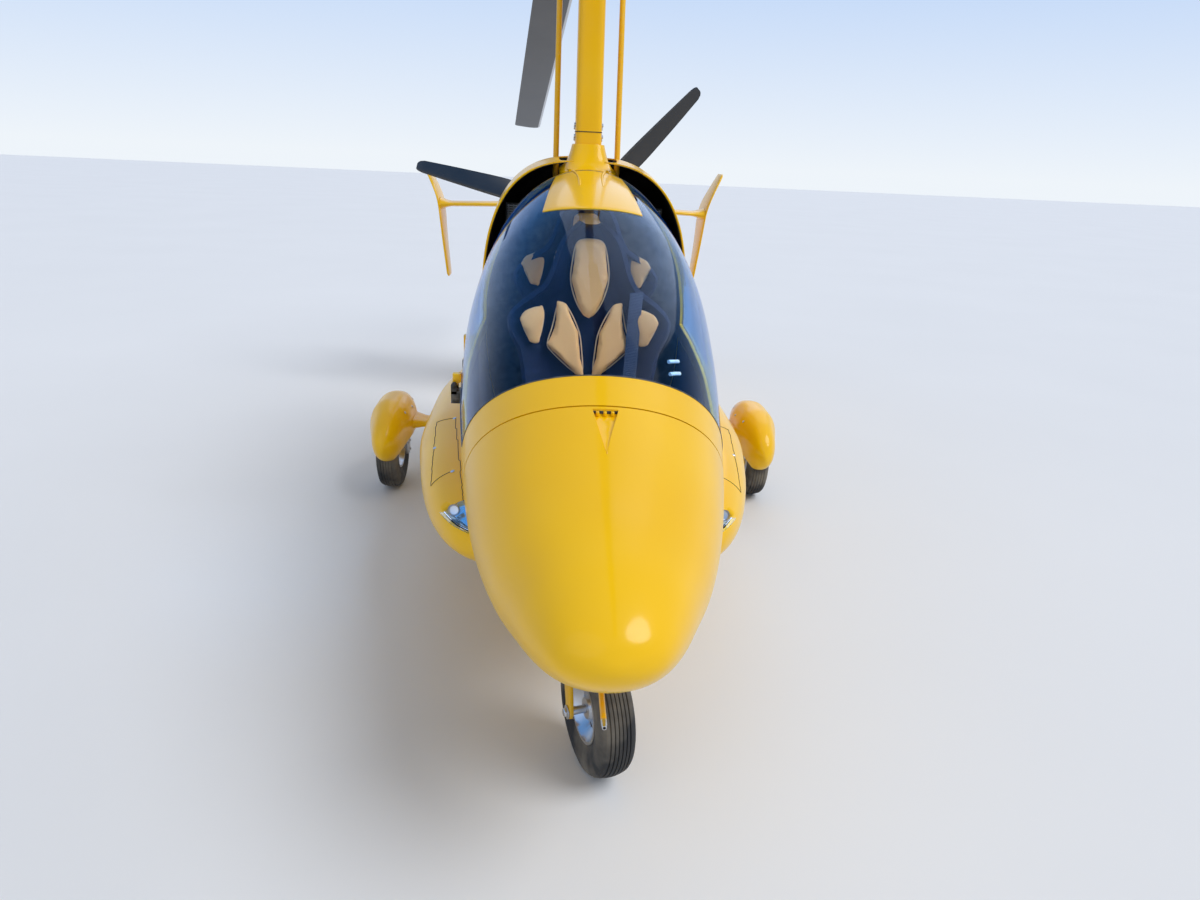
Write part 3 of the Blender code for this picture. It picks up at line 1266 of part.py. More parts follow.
def build_interior(black, tan, navy):
    """Seats, the instrument panel on its pedestal and the control stick."""
    build_seat("front_seat", FRONT_SEAT_Y, FLOOR_Z, FRONT_PAN, navy, tan)
    build_seat("rear_seat", REAR_SEAT_Y, FLOOR_Z + REAR_SEAT_LIFT, REAR_PAN, navy, tan)
    low, deep = FLOOR_Z + SEAT_GAP, DASH_DEPTH
    dash = box("instrument_panel", (-DASH_FOOT_HALF, DASH_Y - deep, low),
               (DASH_FOOT_HALF, DASH_Y, DASH_TOP_Z - DASH_FACE), black)
    outline = [(DASH_Y - 1.5 * deep, DASH_TOP_Z - deep), (DASH_Y, DASH_TOP_Z - 1.2 * DASH_FACE),
               (DASH_Y - DASH_HOOD, DASH_TOP_Z - DASH_HOOD / 2), (DASH_Y + DASH_HOOD, DASH_TOP_Z),
               (DASH_Y - deep / 2, DASH_TOP_Z - SEAT_GAP)]
    combine(dash, extrude("hood", outline, -DASH_HALF, DASH_HALF, None, "X"), "UNION")
    bend, lean = low + STICK_HEIGHT * 0.6, STICK_Y + STICK_HEIGHT / 10
    path = [(0, STICK_Y, low), (0, STICK_Y, bend), (0, lean, low + STICK_HEIGHT)]
    stick = rod("control_stick", path, STICK_RADIUS, 8, black)
    profile = [(0, low), (3 * STICK_RADIUS, low), (1.3 * STICK_RADIUS, low + 2.5 * STICK_RADIUS),
               (0, low + 2.5 * STICK_RADIUS)]
    combine(stick, turn("boot", profile, (0, STICK_Y, 0), (0, 0, 1), 12, None, closed=False), "UNION")


def build_pitot(yellow):
    """Thin pressure tube that leaves the belly and points forward."""
    bend = PITOT_ROOT_Y - (PITOT_ROOT_Y - PITOT_TIP_Y) / 4
    belly = section(PITOT_ROOT_Y)["belly"]
    low = belly - PITOT_DROP
    path = [(0, PITOT_ROOT_Y, belly + 2 * WALL), (0, bend, low), (0, PITOT_TIP_Y, low)]
    combine(rod("pitot_tube", path, PITOT_RADIUS, 8, yellow), fuselage_solid("belly_cut", -SEAT_GAP))


def main():
    clear_scene()
    yellow = paint("yellow_paint", YELLOW, 0.22)
    black = paint("black_plastic", BLACK, 0.5)
    grey = paint("dark_grey_paint", DARK_GREY, 0.35)
    carpet = paint("grey_lining", DARK_GREY, 0.9)
    metal = paint("alloy", METAL, 0.35, 0.9)
    rubber = paint("rubber", RUBBER, 0.8)
    tan = paint("tan_leather", TAN, 0.6)
    navy = paint("navy_leather", NAVY, 0.5)
    glass = paint("blue_glass", BLUE_GLASS, 0.04, 0.0, 0.4)
    lens = paint("clear_lens", (0.8, 0.85, 0.9), 0.05, 0.0, 0.5)
    prop_black = paint("prop_black", BLACK, 0.4)

    spin_axis = (0, math.sin(ROTOR_TILT), math.cos(ROTOR_TILT))
    rotor_spin = pivot("rotor_axis", (0, 0, HUB_Z), spin_axis)
    prop_spin = pivot("propeller_axis", (0, PROP_Y, PROP_Z), (0, 1, 0))
    hinge_y = (PANEL_LINE_Y + CANOPY_REAR_Y) / 2
    canopy_hinge = pivot("canopy_axis", (CANOPY_HINGE_X, hinge_y, CANOPY_HINGE_Z), (0, -1, 0))
    steer = pivot("steer_axis", (0, NOSE_STEM_Y, 0.38))
    nose_axis = Matrix.Rotation(NOSE_STEER, 3, "Z") @ Vector((1, 0, 0))
    nose_roll = pivot("nose_wheel_axis", nose_wheel_centre(), nose_axis)
    rudder_pivot = pivot("rudder_axis", (0, RUDDER_HINGE_Y, 1.0))

    build_fuselage(yellow)
    build_hinges(black, build_canopy(yellow, glass, canopy_hinge))
    cowl = build_cowl(yellow)
    build_stern(grey)
    build_bulkhead(black, carpet)
    build_interior(black, tan, navy)
    build_sponsons(yellow, lens)
    build_mast(yellow, cowl)
    build_fairing(yellow, cowl)
    build_rotor(grey, metal, rotor_spin)
    build_rotor_head(metal)
    build_propeller(prop_black, metal, prop_spin)
    build_engine(metal)
    build_radiators(black)
    build_tail(yellow, rudder_pivot)
    build_bow(yellow)
    build_spats(yellow)
    sizes = (MAIN_TYRE_RADIUS, MAIN_TYRE_WIDTH, MAIN_RIM_RADIUS)
    for word, side in (("port", 1), ("starboard", -1)):
        centre = (side * MAIN_WHEEL_X, MAIN_WHEEL_Y, MAIN_TYRE_RADIUS)
        axis = pivot("main_wheel_axis_" + word, centre, (1, 0, 0))
        build_wheel("main_" + word, centre, sizes, rubber, metal, axis)
    build_nose_gear(yellow, metal, rubber, steer, nose_roll)
    build_pitot(yellow)


main()
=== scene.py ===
import math
from functools import lru_cache

import bmesh
import bpy
from mathutils import Matrix, Vector


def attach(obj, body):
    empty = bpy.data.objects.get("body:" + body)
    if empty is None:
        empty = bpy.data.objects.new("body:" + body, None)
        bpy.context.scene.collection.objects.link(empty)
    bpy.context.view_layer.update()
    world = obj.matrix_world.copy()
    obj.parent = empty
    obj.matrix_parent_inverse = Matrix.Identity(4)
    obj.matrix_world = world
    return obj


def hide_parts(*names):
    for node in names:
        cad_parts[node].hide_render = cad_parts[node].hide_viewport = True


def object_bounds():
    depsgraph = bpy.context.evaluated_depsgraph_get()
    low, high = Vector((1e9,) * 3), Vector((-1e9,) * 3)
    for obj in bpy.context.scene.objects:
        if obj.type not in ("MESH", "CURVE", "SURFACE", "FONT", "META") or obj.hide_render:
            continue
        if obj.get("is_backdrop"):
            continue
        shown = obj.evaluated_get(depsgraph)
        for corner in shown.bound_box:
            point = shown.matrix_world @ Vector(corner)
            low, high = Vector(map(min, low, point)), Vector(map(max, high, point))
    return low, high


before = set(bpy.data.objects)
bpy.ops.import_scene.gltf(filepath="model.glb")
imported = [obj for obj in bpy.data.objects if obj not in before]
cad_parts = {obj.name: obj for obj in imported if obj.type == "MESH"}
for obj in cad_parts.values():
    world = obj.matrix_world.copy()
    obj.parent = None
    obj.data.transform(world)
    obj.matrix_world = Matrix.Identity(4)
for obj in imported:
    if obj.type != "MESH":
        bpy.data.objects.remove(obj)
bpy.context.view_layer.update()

# Nose and tub: one glass-fibre moulding with a 12 mm wall, sprayed yellow under clear coat. Its upper edge
# carries the canopy and the engine cowl. A flush inlet with three bars is let into the nose at the canopy's
# front edge. Everything else is bonded or bolted to this moulding.
SKIN = 0.012
EDGE_GAP = 0.004
NOSE_Y, CANOPY_Y, SILL_Y, HOOP_Y, COWL_Y, STERN_Y = -2.425, -1.80, -1.59, -0.395, -0.3777, 0.745
CANOPY_SWEEP = 0.21
FUSELAGE = (
    (-2.425, 0.012, 0.672, 0.682, 0.662, 2.0, 2.0), (-2.412, 0.062, 0.670, 0.712, 0.632, 2.0, 2.0),
    (-2.380, 0.108, 0.668, 0.742, 0.596, 2.0, 2.0), (-2.290, 0.160, 0.664, 0.790, 0.537, 2.0, 2.1),
    (-2.185, 0.203, 0.662, 0.831, 0.492, 2.0, 2.1), (-2.050, 0.254, 0.664, 0.882, 0.457, 2.05, 2.2),
    (-1.880, 0.302, 0.674, 0.954, 0.432, 2.1, 2.2), (-1.700, 0.338, 0.695, 1.039, 0.414, 2.1, 2.3),
    (-1.420, 0.378, 0.738, 1.184, 0.386, 2.15, 2.4), (-1.150, 0.407, 0.790, 1.306, 0.364, 2.15, 2.5),
    (-0.850, 0.424, 0.850, 1.422, 0.348, 2.1, 2.6), (-0.600, 0.418, 0.905, 1.480, 0.338, 2.05, 2.6),
    (-0.395, 0.404, 0.950, 1.508, 0.335, 2.0, 2.6), (-0.150, 0.408, 0.985, 1.528, 0.335, 2.0, 2.6),
    (0.150, 0.388, 1.015, 1.538, 0.335, 2.0, 2.5), (0.400, 0.345, 1.040, 1.540, 0.335, 2.0, 2.5),
    (0.600, 0.268, 1.065, 1.540, 0.336, 2.0, 2.4), (0.760, 0.190, 1.100, 1.540, 0.340, 2.0, 2.3),
)
COWL_CROWN = (
    (-0.395, 1.538, 2.8), (-0.150, 1.558, 2.8), (0.150, 1.552, 2.7),
    (0.400, 1.524, 2.6), (0.600, 1.480, 2.5), (0.760, 1.430, 2.4),
)
SIDES = ((1, "port"), (-1, "starboard"))


def curve(table, column, y):
    """A smooth curve through one column of a table of stations, with no overshoot between them."""
    xs, vs = [row[0] for row in table], [row[column] for row in table]
    y = min(max(y, xs[0]), xs[-1])
    slopes = [(vs[i + 1] - vs[i]) / (xs[i + 1] - xs[i]) for i in range(len(xs) - 1)]
    tangents = [slopes[0]]
    tangents += [0.0 if a * b <= 0 else 2 * a * b / (a + b) for a, b in zip(slopes, slopes[1:])]
    tangents.append(slopes[-1])
    i = max(k for k in range(len(xs) - 1) if xs[k] <= y or k == 0)
    h = xs[i + 1] - xs[i]
    t = (y - xs[i]) / h
    return (
        (2 * t**3 - 3 * t**2 + 1) * vs[i] + (t**3 - 2 * t**2 + t) * h * tangents[i]
        + (-2 * t**3 + 3 * t**2) * vs[i + 1] + (t**3 - t**2) * h * tangents[i + 1]
    )


@lru_cache(None)
def station(y, cowl=False):
    half, waist, roof, belly, upper, lower = (curve(FUSELAGE, k, y) for k in range(1, 7))
    if cowl:
        roof, upper = curve(COWL_CROWN, 1, y), curve(COWL_CROWN, 2, y)
    return half, waist, roof, belly, upper, lower


def shell(y, around, inset=0.0, cowl=False):
    """A point of the fuselage: around is 0 on the crown, 1 at the waist, 2 on the keel, < 0 to starboard."""
    half, waist, roof, belly, upper, lower = station(y, cowl)
    side, around = (-1.0 if around < 0 else 1.0), abs(around)
    half = max(half - inset, 0.002)
    if around <= 1:
        angle, power, tall = around * math.pi / 2, 2 / upper, max(roof - waist - inset, 0.002)
    else:
        angle, power, tall = (2 - around) * math.pi / 2, 2 / lower, -max(waist - belly - inset, 0.002)
    z = waist + tall * max(math.cos(angle), 0.0) ** power
    return Vector((side * half * max(math.sin(angle), 0.0) ** power, y, z))


def around_at(y, z, cowl=False):
    half, waist, roof, belly, upper, lower = station(y, cowl)
    if z >= waist:
        share = min((z - waist) / (roof - waist), 1.0)
        return 2 / math.pi * math.acos(share ** (upper / 2))
    share = min((waist - z) / (waist - belly), 1.0)
    return 2 - 2 / math.pi * math.acos(share ** (lower / 2))


def around_at_x(y, x):
    half, waist, roof, belly, upper, lower = station(y)
    return 2 / math.pi * math.asin(min(x / half, 1.0) ** (upper / 2))


def blend(share, a, b):
    return a + (b - a) * share


def ramp(y, y0, v0, y1, v1):
    return blend(min(max((y - y0) / (y1 - y0), 0.0), 1.0), v0, v1)


def sill_z(y):
    return ramp(y, SILL_Y, 0.70, HOOP_Y, 0.885)


def joint_z(y):
    return ramp(y, COWL_Y, 0.885, STERN_Y, 0.66)


def spaced(low, high, count):
    return [blend(i / count, low, high) for i in range(count + 1)]


def grid(rows, across=False, along=False):
    """Points and four-cornered faces of rows of points; across closes each row, along joins last row to first."""
    size, count = len(rows[0]), len(rows)
    faces = []
    for i in range(count if along else count - 1):
        for j in range(size if across else size - 1):
            k, m = (j + 1) % size, (i + 1) % count
            faces.append((i * size + j, i * size + k, m * size + k, m * size + j))
    return [Vector(p) for row in rows for p in row], faces


def tube(rings):
    """A closed solid through rings of equal count."""
    points, faces = grid(rings, across=True)
    size = len(rings[0])
    faces.append(tuple(range(size)))
    faces.append(tuple(len(points) - 1 - j for j in range(size)))
    return points, faces


def joined(shapes):
    """One shape, points and faces, out of several."""
    points, faces = [], []
    for more, corners in shapes:
        faces += [[len(points) + i for i in face] for face in corners]
        points += [tuple(p) for p in more]
    return points, faces


def moved(shapes, place):
    return [([place @ Vector(p) for p in points], faces) for points, faces in shapes]


def settle(obj):
    """Turns the modifiers into real mesh."""
    bpy.context.view_layer.update()
    graph = bpy.context.evaluated_depsgraph_get()
    mesh = bpy.data.meshes.new_from_object(obj.evaluated_get(graph))
    obj.modifiers.clear()
    obj.data = mesh


def raw(name, shapes, wall=0.0):
    """An unpainted object from shapes; a sheet that gets a wall faces outward."""
    points, faces = joined(shapes)
    mesh = bpy.data.meshes.new(name)
    mesh.from_pydata(points, [], faces)
    form = bmesh.new()
    form.from_mesh(mesh)
    bmesh.ops.remove_doubles(form, verts=form.verts, dist=2e-5)
    bmesh.ops.dissolve_degenerate(form, edges=form.edges, dist=2e-6)
    bmesh.ops.recalc_face_normals(form, faces=form.faces)
    if wall:
        middle = sum((v.co for v in form.verts), Vector()) / len(form.verts)
        facing = sum(f.normal.dot(f.calc_center_median() - middle) * f.calc_area() for f in form.faces)
        if facing < 0:
            bmesh.ops.reverse_faces(form, faces=form.faces)
    form.to_mesh(mesh)
    form.free()
    obj = bpy.data.objects.new(name, mesh)
    bpy.context.scene.collection.objects.link(obj)
    return obj


def piece(name, shapes, paint, cad=(), body="airframe", wall=0.0, ease=0.0, sharp=35.0, cuts=(), rows=2):
    """One piece: a wall or solid, its openings cut, its edges eased, painted and hung on its body."""
    obj = raw(name, shapes, wall)
    if wall:
        obj.modifiers.new("wall", "SOLIDIFY").thickness = wall
    tools = [raw("tool", [shape]) for shape in cuts]
    for tool in tools:
        cut = obj.modifiers.new("cut", "BOOLEAN")
        cut.solver, cut.object = "EXACT", tool
    if ease:
        edge = obj.modifiers.new("edge", "BEVEL")
        edge.width, edge.segments, edge.angle_limit = ease, rows, math.radians(30)
    settle(obj)
    for tool in tools:
        bpy.data.objects.remove(tool)
    obj.data.shade_smooth()
    obj.data.set_sharp_from_angle(angle=math.radians(sharp))
    obj.data.materials.clear()
    obj.data.materials.append(paint)
    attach(obj, body)
    if cad:
        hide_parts(*cad)
    return obj


def effect(name, inputs, outputs):
    """A shader node group with named inputs and outputs, given with the sockets of its input and output nodes."""
    tree = bpy.data.node_groups.new(name, "ShaderNodeTree")
    for label, kind, value in inputs:
        tree.interface.new_socket(label, in_out="INPUT", socket_type="NodeSocket" + kind).default_value = value
    for label, kind in outputs:
        tree.interface.new_socket(label, in_out="OUTPUT", socket_type="NodeSocket" + kind)
    return tree, tree.nodes.new("NodeGroupInput").outputs, tree.nodes.new("NodeGroupOutput").inputs


def add(tree, kind, values, **settings):
    """A shader node whose inputs are set from numbers, colours or other nodes' outputs."""
    item = tree.nodes.new("ShaderNode" + kind)
    for key, value in settings.items():
        setattr(item, key, value)
    for socket, value in values.items():
        if isinstance(value, bpy.types.NodeSocket):
            tree.links.new(value, item.inputs[socket])
        else:
            item.inputs[socket].default_value = value
    return item


def noise(tree, scale, detail=3.0):
    place = add(tree, "TexCoord", {}).outputs["Object"]
    return add(tree, "TexNoise", {"Vector": place, "Scale": scale, "Detail": detail}).outputs["Fac"]


def span(tree, value, low, high, to_low=0.0, to_high=1.0):
    values = {"Value": value, "From Min": low, "From Max": high, "To Min": to_low, "To Max": to_high}
    return add(tree, "MapRange", values).outputs[0]


def mixed(tree, share, a, b):
    return add(tree, "Mix", {0: share, 6: a, 7: b}, data_type="RGBA").outputs[2]


def times(tree, a, b, kind="MULTIPLY"):
    return add(tree, "Math", {0: a, 1: b}, operation=kind).outputs[0]


# Film: slow drift of the colour, road dust that gathers low down, and wear on the outer edges.
film, given, put = effect("surface_film", (("Colour", "Color", (1, 1, 1, 1)), ("Second", "Color", (1, 1, 1, 1)),
                                           ("Dust", "Float", 0.1), ("Wear", "Float", 0.0)),
                          (("Colour", "Color"), ("Mask", "Float")),)
height = add(film, "SeparateXYZ", {0: add(film, "TexCoord", {}).outputs["Object"]}).outputs["Z"]
low_down = span(film, height, 0.0, 0.9, 1.0, 0.25)
dusty = times(film, span(film, noise(film, 7.0, 6.0), 0.42, 0.75), low_down)
dusty = times(film, dusty, given["Dust"])
worn = span(film, add(film, "NewGeometry", {}).outputs["Pointiness"], 0.53, 0.62)
worn = times(film, times(film, worn, span(film, noise(film, 40.0, 4.0), 0.40, 0.62)), given["Wear"])
drift = mixed(film, span(film, noise(film, 2.3, 2.0), 0.35, 0.65), given["Colour"], given["Second"])
dirty = mixed(film, dusty, drift, (0.33, 0.29, 0.23, 1))
film.links.new(mixed(film, worn, dirty, (0.45, 0.44, 0.42, 1)), put["Colour"])
film.links.new(times(film, dusty, worn, "MAXIMUM"), put["Mask"])

# Grain: the small relief of each kind of surface, as a height.
grains = {}
for kind in ("peel", "moulded", "leather", "weave", "brushed"):
    tree, given, put = effect("grain_" + kind, (("Scale", "Float", 100.0),), (("Height", "Float"),))
    place = add(tree, "TexCoord", {}).outputs["Object"]
    if kind == "weave":
        sized = add(tree, "VectorMath", {0: place, "Scale": given["Scale"]}, operation="SCALE").outputs[0]
        axes = add(tree, "SeparateXYZ", {0: sized}).outputs
        lines = [add(tree, "Math", {0: axes[k]}, operation="SINE").outputs[0] for k in ("X", "Y", "Z")]
        relief = times(tree, times(tree, lines[0], lines[2]), lines[1], "ADD")
    elif kind == "leather":
        cells = add(tree, "TexVoronoi", {"Vector": place, "Scale": given["Scale"]}, feature="DISTANCE_TO_EDGE")
        creases = span(tree, cells.outputs["Distance"], 0.0, 0.25)
        relief = times(tree, creases, noise(tree, 60.0), "ADD")
    else:
        if kind == "brushed":
            place = add(tree, "Mapping", {"Vector": place, "Scale": (1.0, 0.06, 1.0)}).outputs[0]
        detail = 1.0 if kind == "peel" else 5.0
        relief = add(tree, "TexNoise", {"Vector": place, "Scale": given["Scale"], "Detail": detail}).outputs["Fac"]
    tree.links.new(relief, put["Height"])
    grains[kind] = tree


def plain(name):
    """A new material for the pieces of one slot, with its tree and its main shader."""
    paint = bpy.data.materials.new(name)
    paint.use_nodes = True
    return paint, paint.node_tree, paint.node_tree.nodes["Principled BSDF"]


def finish(name, slot, colour, second, grain, scale, relief, rough, dust=0.1, wear=0.0, duller=0.25, **shader):
    """A surface of two close colours with a grain, dust and wear; shader sets the finish's own constants."""
    paint, tree, gloss = plain(name)
    values = {"Colour": (*colour, 1), "Second": (*second, 1), "Dust": dust, "Wear": wear}
    coat = add(tree, "Group", values, node_tree=film)
    tree.links.new(coat.outputs["Colour"], gloss.inputs["Base Color"])
    tree.links.new(span(tree, coat.outputs["Mask"], 0.0, 1.0, rough, rough + duller), gloss.inputs["Roughness"])
    bumps = add(tree, "Group", {"Scale": scale}, node_tree=grains[grain])
    bump = add(tree, "Bump", {"Height": bumps.outputs["Height"], "Strength": 1.0, "Distance": relief})
    tree.links.new(bump.outputs[0], gloss.inputs["Normal"])
    for socket, value in shader.items():
        gloss.inputs[socket.replace("_", " ")].default_value = value
    return paint


yellow = finish("yellow_clear_coat", "yellow_gloss", (0.96, 0.56, 0.0), (0.92, 0.52, 0.0), "peel", 240.0, 0.00004,
                0.34, dust=0.06, Coat_Weight=0.45, Coat_Roughness=0.12, Specular_IOR_Level=0.1)
yellow_satin = finish("yellow_powder_coat", "yellow_metal", (0.91, 0.52, 0.0), (0.87, 0.47, 0.0), "peel", 900.0,
                      0.00006, 0.34, dust=0.14, wear=0.5, Coat_Weight=0.3, Coat_Roughness=0.15,
                      Specular_IOR_Level=0.15)
black = finish("black_moulded_plastic", "black_plastic", (0.012, 0.012, 0.013), (0.020, 0.020, 0.021), "moulded",
               700.0, 0.00012, 0.46, dust=0.35, wear=0.35)


def opening_y(t):
    """Front edge of the canopy opening: on the centre line at t 0, at the sills at t 1 and -1."""
    return CANOPY_Y + CANOPY_SWEEP * t * t


def moulding_edge(y):
    """Where the sill line runs on, forward over the nose."""
    near = ramp(y, -2.35, 0.0, -1.85, 1.0)
    return blend(near * near * (3 - 2 * near), 1.0, around_at(y, sill_z(y) - EDGE_GAP))


NOSE_TIP = Vector((0, NOSE_Y - 0.0015, 0.672))
crowd = [(i / 46) ** 1.4 for i in range(1, 47)]
upper = [[NOSE_TIP] * 61]
for s in crowd:
    row = []
    for t in spaced(-1.0, 1.0, 60):
        y = blend(s, NOSE_Y, opening_y(t) - EDGE_GAP)
        row.append(shell(y, t * moulding_edge(y)))
    upper.append(row)
flank = [blend(s, NOSE_Y, SILL_Y - EDGE_GAP) for s in crowd]
flank += spaced(SILL_Y, HOOP_Y, 26) + spaced(COWL_Y, STERN_Y, 28)
skins = [grid(upper)]
for side, _ in SIDES:
    rows = [[NOSE_TIP] * 29]
    for y in flank:
        top = around_at(y, joint_z(y) - 0.0015) if y > HOOP_Y + 0.001 else moulding_edge(y)
        rows.append([shell(y, side * a) for a in spaced(top, 2.0, 28)])
    skins.append(grid(rows))
INLET_DEPTH = 0.012
INLET = ((-1.953, 0.004, 0.006), (-1.915, -0.004, 0.013), (-1.879, -0.011, 0.022),
         (-1.842, -0.019, 0.032), (-1.811, -0.026, 0.040))
outline = [(left, y) for y, left, right in INLET] + [(right, y) for y, left, right in reversed(INLET)]
inlet_hole = tube([[(x, y, z) for x, y in outline] for z in (0.86, 1.06)])
piece("nose_and_tub", skins, yellow, ["fuselage_tub"], wall=SKIN, cuts=[inlet_hole])
rows = []
for y, left, right in INLET:
    deep = ramp(y, INLET[0][0], 0.001, INLET[-1][0], INLET_DEPTH)
    brim = shell(y, 0)[2] - 0.0008
    rows.append([(left, y, brim), (left + 0.001, y, brim - deep), (right - 0.001, y, brim - deep), (right, y, brim)])
piece("nose_inlet_trough", [grid(rows)], yellow, wall=0.0015, ease=0.0005)
low, high = shell(-1.818, 0)[2] - INLET_DEPTH, shell(-1.818, 0)[2] - 0.002
for x in (-0.012, 0.006, 0.024):
    ring = [[(x + u, y, z) for u, y in ((0, -1.826), (0.004, -1.822), (0.004, -1.812), (-0.004, -1.812),
                                        (-0.004, -1.822))] for z in (low, high)]
    piece("nose_inlet_bar_%d" % round(1000 * x + 50), [tube(ring)], yellow, ease=0.0008)
# Painted shade: a black plate closes the inlet behind its bars and stands for the dark opening into the nose.
mouth = [(-0.026, low), (0.040, low), (0.040, high), (-0.026, high)]
piece("nose_inlet_painted_shade", [tube([[(x, y, z) for x, z in mouth] for y in (-1.8125, -1.8105)])], black, ease=0.0006)


def turned(profile, centre, axis=(0, 1, 0), steps=48, closed=False, rippled=None):
    """A solid turned about an axis from points (radius, distance along the axis)."""
    place = Vector((0, 0, 1)).rotation_difference(Vector(axis)).to_matrix()
    rows = []
    for k in range(steps):
        a = 2 * math.pi * k / steps
        rows.append([Vector(centre) + place @ Vector((r * math.cos(a), r * math.sin(a), z))
                     for r, z in (rippled(k, profile) if rippled else profile)])
    return grid(rows, across=closed, along=True)


def bar(path, radius, sides=12):
    """A round bar or tube along a path of points; radius is one number or one for each point."""
    path = [Vector(p) for p in path]
    sizes = radius if isinstance(radius, (list, tuple)) else [radius] * len(path)
    ahead = [(path[min(i + 1, len(path) - 1)] - path[max(i - 1, 0)]).normalized() for i in range(len(path))]
    side = ahead[0].orthogonal().normalized()
    rings = []
    for point, forward, size in zip(path, ahead, sizes):
        side = (side - forward * side.dot(forward)).normalized()
        other = forward.cross(side)
        rings.append([point + size * (math.cos(a) * side + math.sin(a) * other)
                      for a in (2 * math.pi * k / sides for k in range(sides))])
    return tube(rings)


def rounded(u, v, half_u, half_v, power=2.0, count=32):
    """A rounded outline: 2 is an ellipse, more is squarer."""
    ring = []
    for k in range(count):
        c, s = math.cos(2 * math.pi * k / count), math.sin(2 * math.pi * k / count)
        ring.append((u + half_u * math.copysign(abs(c) ** (2 / power), c),
                     v + half_v * math.copysign(abs(s) ** (2 / power), s)))
    return ring


def slab(low, high):
    return tube([[(low[0], low[1], z), (high[0], low[1], z), (high[0], high[1], z), (low[0], high[1], z)]
                 for z in (low[2], high[2])])


def prism(outline, start, end, axis="X"):
    put = {"X": lambda u, v, w: (w, u, v), "Y": lambda u, v, w: (u, w, v), "Z": lambda u, v, w: (u, v, w)}[axis]
    return tube([[put(u, v, w) for u, v in outline] for w in (start, end)])


def bolt(centre, axis, size):
    """A six-sided head on its washer."""
    head = turned([(0, size * 0.9), (size * 0.8, size * 0.9), (size, size * 0.7), (size, 0), (0, 0)], centre, axis, 6)
    return [head, turned([(0, size * 0.22), (size * 1.5, size * 0.22), (size * 1.5, 0), (0, 0)], centre, axis, 20)]


# Sponsons: a glass-fibre side pod on each flank that carries fuel, bonded along the tub and sprayed with it. A
# seam runs round each filler panel and along the pod's inner edge, with the panel's turn fasteners on it.
SPONSON = (
    (-1.560, 0.330, 0.560, 0.470), (-1.500, 0.400, 0.600, 0.432), (-1.400, 0.460, 0.632, 0.408),
    (-1.250, 0.512, 0.664, 0.388), (-1.050, 0.556, 0.694, 0.376), (-0.750, 0.596, 0.722, 0.366),
    (-0.350, 0.602, 0.728, 0.362), (0.050, 0.570, 0.706, 0.364), (0.350, 0.490, 0.650, 0.380),
    (0.560, 0.380, 0.580, 0.410),
)
POD_FRONT, POD_REAR, POD_ROOT = SPONSON[0][0], SPONSON[-1][0], 0.26
POD_POWER = 2 / 2.3
LIGHT_BACK, LIGHT_SHELF = -1.437, 0.546


def pod_ring(side, y, inset=0.0, count=40):
    """The outer half of a pod's section, from its top edge round to its bottom edge, kept out of the cabin."""
    outer, top, bottom = (curve(SPONSON, k, y) for k in (1, 2, 3))
    middle, half = (top + bottom) / 2 - 0.02, (top - bottom) / 2 - inset
    ring = []
    for k in range(count + 1):
        a = math.pi * (0.5 - k / count)
        c, s = math.cos(a), math.sin(a)
        x = POD_ROOT + (outer - POD_ROOT - inset) * abs(c) ** POD_POWER
        z = middle + half * math.copysign(abs(s) ** POD_POWER, s)
        ring.append(Vector((side * max(x, shell(y, around_at(y, z))[0] - 0.006), y, z)))
    return ring


def on_pod(side, x, y, proud=0.0):
    """The point of a pod's upper side at x, y."""
    ring = pod_ring(side, y, -proud, 160)
    return min(ring[:100], key=lambda p: abs(abs(p[0]) - abs(x)))


def light_floor(y):
    """Lower edge of the window in a pod's nose that the landing light shines through."""
    return ramp(y, -1.600, 0.524, LIGHT_BACK, LIGHT_SHELF)


seam_black = finish("seam_shadow", "black_plastic", (0.010, 0.009, 0.008), (0.016, 0.014, 0.012), "moulded", 300.0,
                    0.0001, 0.7)
alloy = finish("brushed_alloy", "alloy", (0.60, 0.61, 0.63), (0.52, 0.53, 0.55), "brushed", 500.0, 0.00005, 0.33,
               dust=0.25, wear=0.2, Metallic=1.0)
clear, tree, lens_gloss = plain("clear_lens_plastic")
for socket, value in (("Transmission Weight", 1.0), ("Roughness", 0.04), ("IOR", 1.45), ("Coat Weight", 0.6)):
    lens_gloss.inputs[socket].default_value = value
tree.links.new(mixed(tree, span(tree, noise(tree, 30.0), 0.3, 0.7), (0.80, 0.90, 0.97, 1), (0.88, 0.95, 0.99, 1)),
               lens_gloss.inputs["Base Color"])


def let_light_in(paint, colour):
    """Clear pieces cast a tinted shadow only."""
    tree = paint.node_tree
    through = add(tree, "BsdfTransparent", {"Color": (*colour, 1)})
    share = add(tree, "LightPath", {}).outputs["Is Shadow Ray"]
    both = add(tree, "MixShader", {0: share, 1: tree.nodes["Principled BSDF"].outputs[0], 2: through.outputs[0]})
    tree.links.new(both.outputs[0], tree.nodes["Material Output"].inputs[0])


